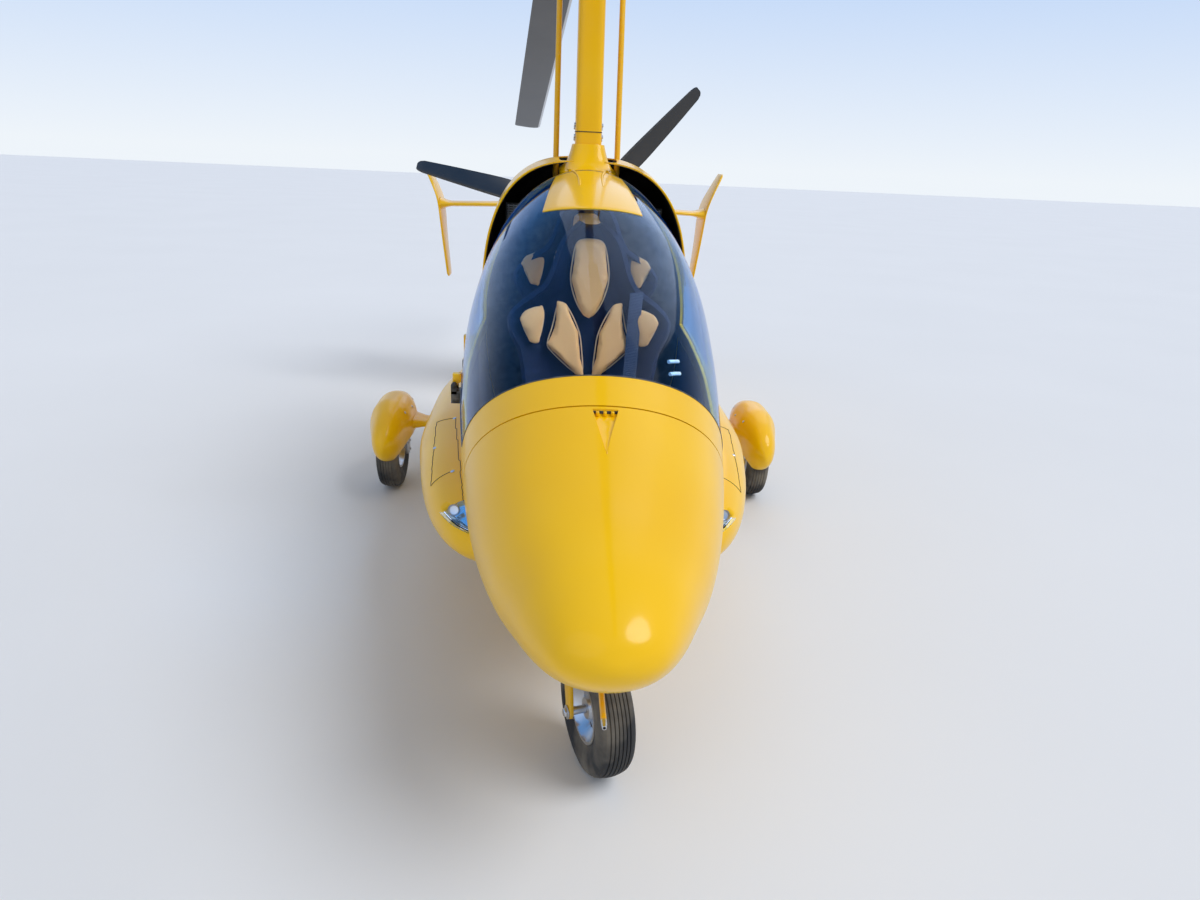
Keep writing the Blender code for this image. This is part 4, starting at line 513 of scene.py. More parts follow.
let_light_in(clear, (0.9, 0.95, 1.0))
reflector = finish("lamp_reflector", "alloy", (0.78, 0.79, 0.80), (0.70, 0.71, 0.73), "brushed", 200.0, 0.00002, 0.12,
                   dust=0.05, Metallic=1.0)
for side, word in SIDES:
    rows = []
    for y in spaced(POD_FRONT, LIGHT_BACK, 10) + spaced(LIGHT_BACK, POD_REAR, 60)[1:]:
        ring = pod_ring(side, y)
        if y < LIGHT_BACK - 0.0005:
            ring = [Vector((p[0], y, min(p[2], light_floor(y)))) for p in ring]
        rows.append(ring)
    skin = [grid(rows)]
    for ring in (rows[0], rows[-1]):
        middle = sum(ring, Vector()) / len(ring)
        ring = ring + ring[:1]
        skin.append(grid([[middle] * len(ring), ring]))
    skin.append(grid([[row[-1], row[0]] for row in rows if row[0][1] > 0.1]))
    step = [p for p in pod_ring(side, LIGHT_BACK) if p[2] > LIGHT_SHELF]
    shelf = [Vector((p[0], LIGHT_BACK, LIGHT_SHELF)) for p in step]
    skin.append(grid([step, shelf]))
    piece("sponson_skin_" + word, skin, yellow, ["sponson_" + word], wall=0.003)

    rows, dish = [], []
    for y in (-1.545, -1.53, -1.51, -1.49, -1.47, -1.45, LIGHT_BACK - 0.001):
        floor = light_floor(y) + 0.0005
        ring = pod_ring(side, y, 0.0, 60)
        rows.append([p if p[2] > floor else Vector((p[0], y, floor)) for p in ring])
        inner = pod_ring(side, y, 0.012, 60)
        dish.append([Vector((p[0], y, max(p[2], floor + 0.002))) for p in inner])
    piece("landing_lens_" + word, [grid(rows)], clear, ["landing_light_" + word], wall=0.002)
    piece("landing_reflector_" + word, [grid(dish)], reflector, wall=0.001)
    lamp = Vector((side * 0.395, -1.47, 0.568))
    rim = turned([(0, 0.001), (0.013, 0.001), (0.017, 0.008), (0.017, -0.006), (0, -0.006)], lamp,
                 (side * 0.2, -1, 0.35), 32)
    piece("landing_lamp_" + word, [rim], alloy, ease=0.0006)

    seams = []
    for (xa, ya), (xb, yb), count in (((0.489, -1.275), (0.42, -1.274), 14), ((0.527, -0.85), (0.457, -0.886), 14),
                                      ((0.457, -0.886), (0.372, -1.44), 60), ((0.489, -1.275), (0.527, -0.85), 30)):
        seams.append([on_pod(side, blend(k, xa, xb), blend(k, ya, yb), 0.0001) for k in spaced(0.0, 1.0, count)])
    piece("sponson_seams_" + word, [bar(path, 0.0011, 6) for path in seams], seam_black)
    studs = [turned([(0, 0.0026), (0.006, 0.0022), (0.008, 0), (0, 0)], on_pod(side, x, y, -0.001),
                    (side * 0.35, 0, 1), 24) for x, y in ((0.42, -1.274), (0.457, -0.886), (0.505, -1.06))]
    piece("sponson_fasteners_" + word, studs, alloy)

# Canopy: a yellow frame with a wide front band, hinged on the starboard sill, a blown, lightly tinted pane set flush
# in it on a black seal, and a painted roof panel bonded over the pane. The pane's blue edges and blue sheen are a
# painted reflection of the sky.
BAND, SILL_BAND, HOOP = 0.100, 0.055, 0.022


def canopy(s, t, inset, share, more=0.0):
    """The canopy surface from its front edge to its rear one; share holds it back by that much of the frame."""
    front, sill, rear = BAND * share + more, SILL_BAND * share + more, HOOP * share + more
    y = blend(s, opening_y(t) + front, HOOP_Y - rear)
    return shell(y, t * around_at(y, sill_z(y) + sill), inset)


def canopy_rim(share, inset=0.0, more=0.0, count=44):
    steps = spaced(0.0, 1.0, count)
    loop = [(0.0, 2 * k - 1) for k in steps] + [(k, 1.0) for k in steps[1:]]
    loop += [(1.0, 1 - 2 * k) for k in steps[1:]] + [(1 - k, -1.0) for k in steps[1:-1]]
    return [canopy(s, t, inset, share, more) for s, t in loop]


HINGE_X, HINGE_Z = -0.452, 0.80
HINGES = (("front", -0.92), ("rear", -0.55))
arms = []
for _, y in HINGES:
    foot = sill_z(y) + 0.012
    wall = -shell(y, around_at(y, foot))[0]
    arm = [(HINGE_X - 0.006, HINGE_Z), (HINGE_X + 0.006, HINGE_Z), (wall + 0.004, foot), (wall - 0.006, foot + 0.004),
           (wall - 0.006, foot + 0.022), (HINGE_X - 0.006, foot + 0.022)]
    arms.append(prism(arm, y - 0.013, y + 0.013, "Y"))
    arms.append(turned([(0.0056, -0.013), (0.011, -0.013), (0.011, 0.013), (0.0056, 0.013)], (HINGE_X, y, HINGE_Z),
                       steps=28, closed=True))
piece("canopy_frame_moulding", [grid([canopy_rim(k) for k in spaced(0.0, 1.0, 8)], across=True)], yellow,
      ["canopy_frame"], body="canopy", wall=0.016)
piece("canopy_frame_lining", [grid([canopy_rim(k, 0.0166) for k in spaced(0.04, 0.97, 6)], across=True)], black,
      body="canopy", wall=0.0012)
piece("canopy_hinge_arms", arms, yellow_satin, body="canopy", ease=0.0015)
seal = canopy_rim(1.0, 0.0005)
piece("canopy_seal", [bar(seal + seal[:1], 0.0022, 8)], black, body="canopy")
for word, y in HINGES:
    root = -shell(y, around_at(y, HINGE_Z - 0.03))[0]
    plate = [(HINGE_X - 0.010, 0.738), (root + 0.004, 0.738), (root + 0.004, 0.780), (HINGE_X - 0.010, 0.780)]
    shapes = [prism(plate, y - 0.030, y + 0.030, "Y")]
    for end in (-0.0225, 0.0225):
        ear = rounded(HINGE_X, HINGE_Z, 0.010, 0.010, 2, 20)
        shapes.append(prism(ear, y + end - 0.0075, y + end + 0.0075, "Y"))
        shapes.append(slab((HINGE_X - 0.010, y + end - 0.0075, 0.77), (HINGE_X + 0.010, y + end + 0.0075, HINGE_Z)))
    for way in (1, -1):
        shapes += bolt((HINGE_X, y + way * 0.030, HINGE_Z), (0, way, 0), 0.006)
    shapes.append(bar([(HINGE_X, y - 0.030, HINGE_Z), (HINGE_X, y + 0.030, HINGE_Z)], 0.005, 16))
    piece("canopy_hinge_" + word, shapes, black, ["canopy_bracket_" + word], ease=0.0008)


# The pane is lightly tinted. Its blue sheen and the blue its colour turns towards the edges are a painted reflection
# of the sky.
pane_paint_with_sky, tree, pane = plain("pane_tint_and_painted_sky_reflection")
for socket, value in (("Transmission Weight", 1.0), ("Roughness", 0.02), ("IOR", 1.14), ("Sheen Weight", 0.30),
                      ("Sheen Roughness", 0.25), ("Sheen Tint", (0.0, 0.16, 0.85, 1)), ("Specular IOR Level", 0.3)):
    pane.inputs[socket].default_value = value
# Painted sky reflection: the colour deepens to blue where the pane is seen edge on.
painted_sky_edge_share = add(tree, "LayerWeight", {"Blend": 0.35}).outputs["Facing"]
tint_and_sky_ramp = add(tree, "ValToRGB", {0: painted_sky_edge_share})
tint_and_sky_ramp.color_ramp.elements[0].color, tint_and_sky_ramp.color_ramp.elements[1].color = (0.92, 0.92, 0.95, 1), (0.03, 0.24, 0.75, 1)
tint_and_sky_ramp.color_ramp.elements[0].position = 0.20
tint_and_sky_ramp.color_ramp.elements.new(0.60).color = (0.34, 0.60, 0.94, 1)
smears = span(tree, noise(tree, 9.0, 5.0), 0.45, 0.8)
tree.links.new(mixed(tree, times(tree, smears, 0.12), tint_and_sky_ramp.outputs[0], (0.75, 0.80, 0.85, 1)),
               pane.inputs["Base Color"])
let_light_in(pane_paint_with_sky, (0.80, 0.90, 1.0))
rows = [[canopy(s, t, 0.001, 1.0, 0.0008) for t in spaced(-1.0, 1.0, 56)] for s in spaced(0.0, 1.0, 44)]


def roof_patch(inset, margin, count=24):
    rows = []
    for s in spaced(0.0, 1.0, count):
        row = []
        for t in spaced(-1.0, 1.0, count):
            y = blend(s, -0.93 + 0.055 * t * t - margin, HOOP_Y - HOOP - 0.0003 + margin)
            row.append(shell(y, t * around_at_x(y, blend(s, 0.165, 0.125) + margin), inset))
        rows.append(row)
    return rows


top, bottom = roof_patch(-0.004, 0.0006, 16), roof_patch(0.02, 0.0006, 16)
sheets = [top, bottom] + [(top[k], bottom[k]) for k in (0, -1)]
sheets += [([row[k] for row in top], [row[k] for row in bottom]) for k in (0, -1)]
roof_hole = joined([grid(sheet) for sheet in sheets])
piece("canopy_pane", [grid(rows)], pane_paint_with_sky, ["canopy_glass"], body="canopy", wall=0.005, cuts=[roof_hole])
piece("canopy_roof_skin", [grid(roof_patch(-0.0004, 0.0))], yellow, ["canopy_roof"], body="canopy",
      wall=0.007, ease=0.0012)
vent_pale = finish("pale_vent_plastic", "clear_lens", (0.62, 0.82, 0.92), (0.56, 0.78, 0.90), "moulded", 900.0,
                   0.00004, 0.35)
for k, y in enumerate((-1.602, -1.560)):
    centre, along = shell(y, around_at_x(y, 0.202), 0.0065), Vector((0.030, 0.026, -0.004))
    piece("pane_vent_%d" % (k + 1), [bar([centre - along / 2, centre + along / 2], 0.0055, 12)], vent_pale,
          body="canopy")

# Cabin: a dark grey felt lining stuck inside the tub and a carpet of the same felt laid on the floor, its blue a
# painted reflection of the sky on the pane. Both are cut from the roll; they end at the sills and at the black
# bulkhead behind the rear seat.
# Painted reflection: the felt is coloured blue for the sky seen on the pane, over its own dark grey.
felt_painted_sky_blue = finish("grey_felt_painted_sky_blue", "grey_lining", (0.006, 0.030, 0.11), (0.010, 0.040, 0.14), "weave", 2600.0, 0.0004,
              0.92, dust=0.05, Specular_IOR_Level=0.1)
for side, word in SIDES:
    rows = [[shell(y, side * a, 0.0128) for a in spaced(moulding_edge(y), 1.62, 16)]
            for y in spaced(-1.86, -0.41, 34)]
    piece("lining_" + word, [grid(rows)], felt_painted_sky_blue, wall=0.0015)
rows = []
for y in spaced(-1.90, -0.392, 30):
    half = shell(y, around_at(y, 0.4625), 0.016)[0]
    rows.append([Vector((half * u, y, 0.4608 + 0.0012 * math.sin(40 * y) * math.sin(9 * u)))
                 for u in spaced(-1, 1, 24)])
piece("floor_carpet", [grid(rows)], felt_painted_sky_blue, wall=0.003)

# Seats: a moulded bucket in navy leather over a shell on a plinth, with tan leather pads sewn on. The pads are
# foam under thin leather: blown up by simulation, with a welt round each.
SEAT_LINE = ((-1.00, 0.175), (-0.72, 0.215), (-0.30, 0.170), (-0.05, 0.180),
             (0.045, 0.300), (0.110, 0.520), (0.150, 0.720), (0.172, 0.880))
SHELL_HALF = ((0.0, 0.190), (0.34, 0.205), (0.479, 0.205), (0.62, 0.225), (0.68, 0.258), (0.71, 0.266),
              (0.742, 0.245), (0.775, 0.195), (0.81, 0.145), (0.86, 0.118), (0.92, 0.100), (0.955, 0.082),
              (0.982, 0.056), (1.0, 0.030))
navy = finish("navy_leather", "navy_leather", (0.003, 0.008, 0.028), (0.005, 0.012, 0.038), "leather", 420.0, 0.0004,
              0.42, dust=0.02, Specular_IOR_Level=0.15)
tan = finish("tan_leather", "tan_leather", (0.80, 0.43, 0.15), (0.72, 0.36, 0.12), "leather", 380.0, 0.0004, 0.48,
             dust=0.03, Sheen_Weight=0.05, Specular_IOR_Level=0.2)
thread = finish("tan_thread", "tan_leather", (0.72, 0.50, 0.27), (0.60, 0.40, 0.20), "weave", 5000.0, 0.0002, 0.7)
webbing = finish("harness_webbing", "navy_leather", (0.030, 0.050, 0.10), (0.022, 0.038, 0.08), "weave", 3000.0,
                 0.0006, 0.75, dust=0.1, Sheen_Weight=0.2)
BACK_LEAN, BACK_FOOT_Z, PAN_PAD_HALF = 0.22, 0.80, 0.150


def seat_line(share, pan):
    """The seat's middle line from the front of the pan to the head, with its forward-facing normal."""
    pts = [Vector((y * pan if y < 0 else y, z)) for y, z in SEAT_LINE]
    lengths = [0.0]
    for a, b in zip(pts, pts[1:]):
        lengths.append(lengths[-1] + (b - a).length)
    table = [(length / lengths[-1], p[0], p[1]) for length, p in zip(lengths, pts)]
    here = Vector((curve(table, 1, share), curve(table, 2, share)))
    after = Vector((curve(table, 1, min(share + 0.01, 1.0)), curve(table, 2, min(share + 0.01, 1.0))))
    before = Vector((curve(table, 1, max(share - 0.01, 0.0)), curve(table, 2, max(share - 0.01, 0.0))))
    way = (after - before).normalized()
    return here, Vector((-way.y, way.x))


def bucket(u, share):
    """How far a seat's skin stands forward of the flat line, and its half width, at u across and share along."""
    half = curve(SHELL_HALF, 1, share)
    bolster = 0.055 * max(abs(u) - 0.55, 0.0) ** 1.5 / 0.45 ** 1.5
    return half, bolster * ramp(share, 0.86, 1.0, 1.0, 0.2)


# Outlines of the head pad, and of the port one of each pair of leaf and wing pads, as (x, z).
PADS = (
    ((0.026, 1.292), (-0.030, 1.292), (-0.052, 1.278), (-0.060, 1.235), (-0.070, 1.160), (-0.048, 1.092),
     (-0.022, 1.050), (0.0, 1.040), (0.022, 1.056), (0.046, 1.098), (0.066, 1.165), (0.056, 1.235),
     (0.046, 1.278)),
    ((0.030, 0.995), (0.076, 1.082), (0.108, 1.092), (0.122, 1.010), (0.143, 0.952), (0.129, 0.930),
     (0.045, 0.855), (0.014, 0.850), (0.022, 0.930)),
    ((0.150, 1.040), (0.158, 1.078), (0.215, 1.062), (0.232, 1.035), (0.198, 0.962), (0.168, 0.955)),
)


def mirrored(outlines):
    """The outlines, each one that is off the middle line followed by its mirror image."""
    for outline in outlines:
        yield outline
        if min(abs(x) for x, z in outline) > 0.001:
            yield [(-x, z) for x, z in outline]


def on_back(x, z, plane_y):
    """A point of a seat back's face, which leans back and comes forward at its sides."""
    return Vector((x, plane_y + BACK_LEAN * (z - BACK_FOOT_Z) - 0.035 * max(abs(x) - 0.10, 0.0) / 0.12, z))


def back_blanks(outlines, plane_y, thick=0.014):
    """Foam blanks for the back pads, a little larger than the outlines because the leather draws in."""
    shapes = []
    for outline in mirrored(outlines):
        face = [on_back(x, z, plane_y) for x, z in outline]
        middle = sum(face, Vector()) / len(face)
        face = [p + (p - middle) * 0.05 for p in face]
        shapes.append(tube([[p + Vector((0, lift, 0)) for p in face] for lift in (0.006, -thick)]))
    return shapes


def blow(obj, voxel, limit):
    """Fills a blank by simulation: remesh, inflate, cap how far a point may move, smooth."""
    remesh = obj.modifiers.new("remesh", "REMESH")
    remesh.mode, remesh.voxel_size = "VOXEL", voxel
    settle(obj)
    start = [v.co.copy() for v in obj.data.vertices]
    soft = obj.modifiers.new("soft", "CLOTH")
    soft.settings.use_pressure, soft.settings.uniform_pressure_force = True, 4.0
    soft.settings.effector_weights.gravity = 0.0
    soft.settings.quality = 4
    scene = bpy.context.scene
    for step in range(1, 21):
        scene.frame_set(step)
    settle(obj)
    scene.frame_set(1)
    for v, was in zip(obj.data.vertices, start):
        move = v.co - was
        if move.length > limit:
            v.co = was + move * (limit / move.length)
    smooth = obj.modifiers.new("smooth", "SMOOTH")
    smooth.factor, smooth.iterations = 0.6, 6
    obj.modifiers.new("fine", "SUBSURF").levels = 1
    settle(obj)


def padding(name, shapes, paint, cad, voxel=0.0055, limit=0.009):
    """A set of cushions as one piece that stands for the solid cad."""
    obj = raw(name, shapes)
    blow(obj, voxel, limit)
    obj.data.shade_smooth()
    obj.data.materials.clear()
    obj.data.materials.append(paint)
    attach(obj, "airframe")
    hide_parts(cad)


for word, seat_y, floor_z, pan, plane_y in (("front", -1.02, 0.46, 0.40, -0.966),
                                            ("rear", -0.605, 0.52, 0.27, -0.548)):
    rows = []
    for share in spaced(0.0, 1.0, 46):
        here, out = seat_line(share, pan)
        row = []
        for u in spaced(-1.0, 1.0, 36):
            half, proud = bucket(u, share)
            at = here + out * (proud - 0.004)
            row.append(Vector((half * u, seat_y + at.x, floor_z + at.y)))
        rows.append(row)
    piece(word + "_seat_bucket", [grid(rows)], navy, [word + "_seat_shell"], wall=-0.020,
          ease=0.006, rows=3)
    under = [seat_line(k, pan)[0] for k in (0.16, 0.30, 0.42)]
    foot = [(seat_y + under[0][0] + 0.01, floor_z - 0.06 * (word == "rear") + 0.001)]
    foot += [(seat_y + p[0], floor_z + p[1] - 0.020) for p in under]
    foot.append((seat_y + under[-1][0], foot[0][1]))
    piece(word + "_seat_plinth", [prism(foot, -0.125, 0.125, "X")], black, ease=0.006)
    outlines = PADS
    if word == "rear":
        outlines = [[(x * 0.95, (z - 1.17) * 0.72 + 1.262) for x, z in outlines[0]]] + [
            [(x * 1.06, z + 0.130) for x, z in outline] for outline in outlines[1:]]
    padding(word + "_seat_back_pads", back_blanks(outlines, plane_y), tan, word + "_seat_back_pad")
    cushions = []
    for low, high in ((0.04, 0.20), (0.215, 0.40)):
        rings = []
        for share in spaced(low, high, 5):
            here, out = seat_line(share, pan)
            foot, face = here + out * 0.001, here + out * 0.024
            wide = PAN_PAD_HALF * (1.0 - 0.25 * abs(share - (low + high) / 2) / (high - low))
            rings.append([(x, seat_y + p.x, floor_z + p.y) for x, p in
                          ((-wide, foot), (wide, foot), (wide, face), (-wide, face))])
        cushions.append(tube(rings))
    padding(word + "_seat_pan_pads", cushions, tan, word + "_seat_seat_pad", limit=0.012)
    welts = []
    for outline in mirrored(outlines):
        ring = [on_back(x, z, plane_y - 0.001) for x, z in list(outline) + list(outline[:2])]
        smooth = []
        for a, b, c in zip(ring, ring[1:], ring[2:]):
            smooth += [(a + b) / 2 * (1 - k) ** 2 + 2 * b * k * (1 - k) + (b + c) / 2 * k * k
                       for k in (0, 0.25, 0.5, 0.75)]
        welts.append(bar(smooth + smooth[:1], 0.0022, 8))
    piece(word + "_seat_welts", welts, thread)
    strap = []
    for x, z in ((0.155, 1.13), (0.150, 1.06), (0.146, 0.98), (0.142, 0.90), (0.138, 0.84), (0.120, 0.79),
                 (0.085, 0.73)):
        z += 0.06 if word == "rear" else 0.0
        y = plane_y + BACK_LEAN * (z - BACK_FOOT_Z) - 0.034 - 0.020 * max(0.0, 1.0 - (z - 0.70) / 0.2)
        strap.append([Vector((x - 0.022, y, z)), Vector((x + 0.022, y - 0.002, z + 0.002))])
    piece(word + "_shoulder_strap", [grid(strap)], webbing, wall=0.0018, ease=0.0004)
    lap = []
    for k in spaced(-1.0, 1.0, 20):
        here, out = seat_line(0.40, pan)
        at = here + out * (0.045 + 0.03 * math.cos(k * math.pi / 2))
        at_x, drop = 0.205 * k, 0.05 * k * k
        lap.append([Vector((at_x, seat_y + at.x + off * 0.7, floor_z + at.y - drop + off * 0.7))
                    for off in (-0.022, 0.022)])
    piece(word + "_lap_strap", [grid(lap)], webbing, wall=0.0018, ease=0.0004)
    mid = lap[10][0].lerp(lap[10][1], 0.5)
    buckle = [slab(mid - Vector((0.028, 0.010, 0.020)), mid + Vector((0.028, 0.004, 0.020)))]
    piece(word + "_harness_buckle", buckle, alloy, ease=0.004, rows=3)

# Instrument panel: a black moulded plastic hood screwed to a pedestal on the floor. Two plain dials, a dark
# screen and a row of knobs are set into its face.
hood = [(-1.735, 0.842), (-1.60, 0.752), (-1.612, 0.918), (-1.584, 0.930), (-1.648, 0.930)]
piece("panel_hood", [prism(hood, -0.19, 0.19, "X"), slab((-0.07, -1.69, 0.461), (0.07, -1.60, 0.79))], black,
      ["instrument_panel"], ease=0.010, rows=4)
DIAL_XS, DIAL_Z = (-0.125, 0.125), 0.845


def on_panel(x, z, out=0.0):
    """A point on the panel's face, which leans back a little."""
    return Vector((x, -1.5995 - (z - 0.752) * 0.0723 + out, z))


screen = finish("dark_screen", "black_plastic", (0.004, 0.006, 0.010), (0.006, 0.010, 0.016), "moulded", 50.0,
                0.00001, 0.08, Coat_Weight=1.0)
white = finish("dial_marking", "alloy", (0.85, 0.86, 0.84), (0.80, 0.81, 0.79), "moulded", 300.0, 0.00002, 0.5)
shapes, marks = [], []
for x, needle_at in zip(DIAL_XS, (-50, 35)):
    shapes.append(turned([(0.036, 0), (0.036, 0.007), (0.040, 0.008), (0.044, 0.004), (0.044, 0)],
                         on_panel(x, DIAL_Z), (0, 1, 0.07), 48, closed=True))
    strokes = [(30 * k, 0.0035, (0.028, 0.034), 0.0008) for k in range(12)]
    for turn, lift, ends, size in strokes + [(needle_at, 0.004, (-0.006, 0.026), [0.0014, 0.0006])]:
        way = Vector((math.sin(math.radians(turn)), 0, math.cos(math.radians(turn))))
        marks.append(bar([on_panel(x, DIAL_Z, lift) + way * end for end in ends], size, 6))
for k in range(6):
    shapes.append(turned([(0, 0.014), (0.006, 0.014), (0.008, 0.010), (0.009, 0), (0, 0)],
                         on_panel(-0.10 + 0.04 * k, 0.777), (0, 1, 0.07), 24))
piece("panel_bezels", shapes, alloy)
piece("panel_marks", marks, white)
dials = [turned([(0, 0.003), (0.036, 0.003), (0.036, 0), (0, 0)], on_panel(x, DIAL_Z), (0, 1, 0.07), 48)
         for x in DIAL_XS]
piece("panel_screens", dials + [slab(on_panel(-0.072, 0.800), on_panel(0.072, 0.895, 0.016))], screen, ease=0.0015)

# Controls: a bent alloy stick with a moulded grip, its foot in a leather boot, two rudder pedals and a throttle
# lever. All are bolted to the floor panel.
stick = [(0, -1.475, 0.47), (0, -1.475, 0.60), (0.0, -1.470, 0.65), (0.0, -1.455, 0.70)]
piece("stick_tube", [bar(stick, 0.009, 20)], alloy, ["control_stick"])
grip = [(0, -1.458, 0.692), (0, -1.452, 0.71), (0, -1.446, 0.73), (0, -1.442, 0.75), (0, -1.438, 0.772),
        (0, -1.437, 0.780)]
piece("stick_grip", [bar(grip, [0.012, 0.0155, 0.014, 0.016, 0.0175, 0.010], 24)], black)
folds = [(0, 0.0), (0.050, 0.0), (0.046, 0.008), (0.050, 0.014), (0.036, 0.022), (0.040, 0.030), (0.024, 0.040),
         (0.027, 0.048), (0.012, 0.062), (0, 0.062)]
piece("stick_boot", [turned(folds, (0, -1.475, 0.462), (0, 0, 1), 40)], navy, ease=0.002)
for side, word in SIDES:
    shapes = [bar([(side * 0.10, -1.80, 0.47), (side * 0.10, -1.79, 0.56), (side * 0.10, -1.79, 0.60)], 0.008, 12)]
    shapes.append(slab((side * 0.10 - 0.04, -1.80, 0.575), (side * 0.10 + 0.04, -1.785, 0.635)))
    piece("pedal_" + word, shapes, alloy, ease=0.003)
lever = bar([(-0.235, -1.20, 0.462), (-0.235, -1.22, 0.60), (-0.230, -1.26, 0.66)], 0.006, 12)
knob = bar([(-0.230, -1.255, 0.652), (-0.228, -1.29, 0.69)], [0.013, 0.015], 20)
piece("throttle_lever", [lever, knob], black, ease=0.002)

# Engine cowl: a yellow glass-fibre hood whose lip stands proud of the canopy, so that air goes in over both
# shoulders. It is screwed along its lower edge; the intakes are lined in black behind a thin yellow lip.
rows = [[shell(y, t * around_at(y, joint_z(y) + 0.0015, True), 0.0, True) for t in spaced(-1.0, 1.0, 72)]
        for y in spaced(COWL_Y, STERN_Y, 48)]
PLAN_FRONT, PLAN_REAR, PLAN_HALF = COWL_Y, -0.05, 0.112
plan_middle = (PLAN_FRONT + PLAN_REAR) / 2
notch = rounded(0, plan_middle, PLAN_HALF + 0.001, (PLAN_REAR - PLAN_FRONT) / 2 + 0.001, 5.0, 40)
piece("cowl_skin", [grid(rows)], yellow, ["engine_cowl"], wall=0.005,
      cuts=[prism(notch, 1.40, 1.80, "Z")])
rows = [[shell(y, t * around_at(y, joint_z(y) + 0.02, True), 0.0056, True) for t in spaced(-1.0, 1.0, 48)]
        for y in spaced(COWL_Y + 0.006, STERN_Y - 0.01, 24)]
piece("cowl_lining", [grid(rows)], black, wall=0.002, cuts=[prism(notch, 1.40, 1.80, "Z")])
lip = [[shell(COWL_Y, side * a, 0.0025, True) for a in spaced(0.26, around_at(COWL_Y, 0.90, True), 40)]
       for side in (1, -1)]
piece("intake_lips", [bar(path, 0.0042, 12) for path in lip], yellow)
for side, word in SIDES:
    rows = []
    for k in spaced(0.0, 1.0, 10):
        y = blend(k, COWL_Y + 0.002, COWL_Y + 0.20)
        rows.append([shell(y, side * a, blend(k * k, 0.010, 0.075)) for a in spaced(0.20, 0.98, 40)])
    piece("intake_duct_" + word, [grid(rows)], black, wall=0.002)
screws = []
for side in (1, -1):
    for y in spaced(-0.33, 0.70, 9):
        a = around_at(y, joint_z(y) + 0.016, True)
        screws.append(turned([(0, 0.0024), (0.005, 0.002), (0.0065, 0), (0, 0)], shell(y, side * a, 0.001, True),
                             (side, 0, 0.15), 20))
piece("cowl_screws", screws, alloy)
for side, word in SIDES:
    fins = []
    for z in spaced(1.03, 1.35, 32):
        x0, x1 = sorted((side * 0.206, side * 0.324))
        fins.append(slab((x0, -0.0635, z - 0.0012), (x1, -0.0600, z + 0.0012)))
    for x in spaced(0.212, 0.318, 5):
        fins.append(bar([(side * x, -0.0615, 1.026), (side * x, -0.0615, 1.354)], 0.0025, 8))
    piece("radiator_core_" + word, fins, alloy)

# Stern grille: a dark painted plate with pressed louvres that closes the tail end of the body round the drive. It
# is held by a ring of screws.
graphite = finish("dark_grey_paint", "dark_grey_paint", (0.030, 0.032, 0.036), (0.040, 0.042, 0.046), "peel", 600.0,
                  0.00006, 0.40, dust=0.3, wear=0.2)
ring = []
for a in spaced(2.0, -2.0, 72)[:-1]:
    p = shell(STERN_Y, a, 0.004, abs(a) <= around_at(STERN_Y, joint_z(STERN_Y)))
    ring.append((p[0], p[2]))
LOUVRE_ZS = spaced(0.46, 1.10, 10)


def slot_half(z):
    return 0.62 * shell(STERN_Y, around_at(STERN_Y, min(z, 1.30)))[0] - 0.02


slots = []
for z in LOUVRE_ZS + [1.40]:
    half = slot_half(z)
    slots.append(slab((-half, STERN_Y - 0.02, z - 0.008), (half, STERN_Y + 0.03, z + 0.008)))
drive = turned([(0, -0.05), (0.066, -0.05), (0.066, 0.05), (0, 0.05)], (0, STERN_Y, 1.28))
piece("stern_plate", [prism(ring, STERN_Y + 0.0003, STERN_Y + 0.0083, "Y")], graphite,
      ["stern_grille"], cuts=slots + [drive], ease=0.001)
louvres = []
for z in LOUVRE_ZS:
    half = slot_half(z) - 0.001
    blade = [(STERN_Y - 0.008, z + 0.010), (STERN_Y + 0.0095, z - 0.007), (STERN_Y + 0.011, z - 0.005),
             (STERN_Y - 0.006, z + 0.0115)]
    louvres.append(prism(blade, -half, half, "X"))
piece("stern_louvres", louvres, graphite, ease=0.0005)
screws = []
for a in spaced(1.8, -1.8, 14):
    p = shell(STERN_Y, a, 0.016, abs(a) <= around_at(STERN_Y, joint_z(STERN_Y)))
    screws.append(turned([(0, 0.0025), (0.005, 0.002), (0.0065, 0), (0, 0)], (p[0], STERN_Y + 0.0083, p[2]),
                         (0, 1, 0), 20))
piece("stern_screws", screws, alloy)

# Mast fairing: a yellow cover let into the cowl that sweeps up round the foot of the mast, with a raised welt
# on each side of the foot that runs forward on to the roof.
foot_y, top_z = -0.23 + 0.011, 1.60
base = rounded(0, plan_middle, PLAN_HALF, (PLAN_REAR - PLAN_FRONT) / 2, 5.0, 72)
foot = rounded(0, foot_y, 0.104 / 2 + 0.011, 0.118 / 2 + 0.022, 3.5, 72)
spread = ((0.0, 1.0), (0.06, 0.80), (0.25, 0.45), (0.6, 0.18), (1.0, 0.0))
rows = [[(u, v, 1.47) for u, v in base]]
for rise in [0.0, 0.003, 0.01, 0.03] + spaced(0.06, 1.0, 26):
    out = curve(spread, 1, rise)
    row = []
    for (fu, fv), (bu, bv) in zip(foot, base):
        u, v = blend(out, fu, bu), blend(out, fv, bv)
        roof = shell(v, around_at_x(v, abs(u)))[2]
        row.append((u, v, blend(rise, roof, top_z)))
    rows.append(row)
piece("mast_cover", [tube(rows)], yellow, ["mast_fairing"], sharp=50, ease=0.0015)
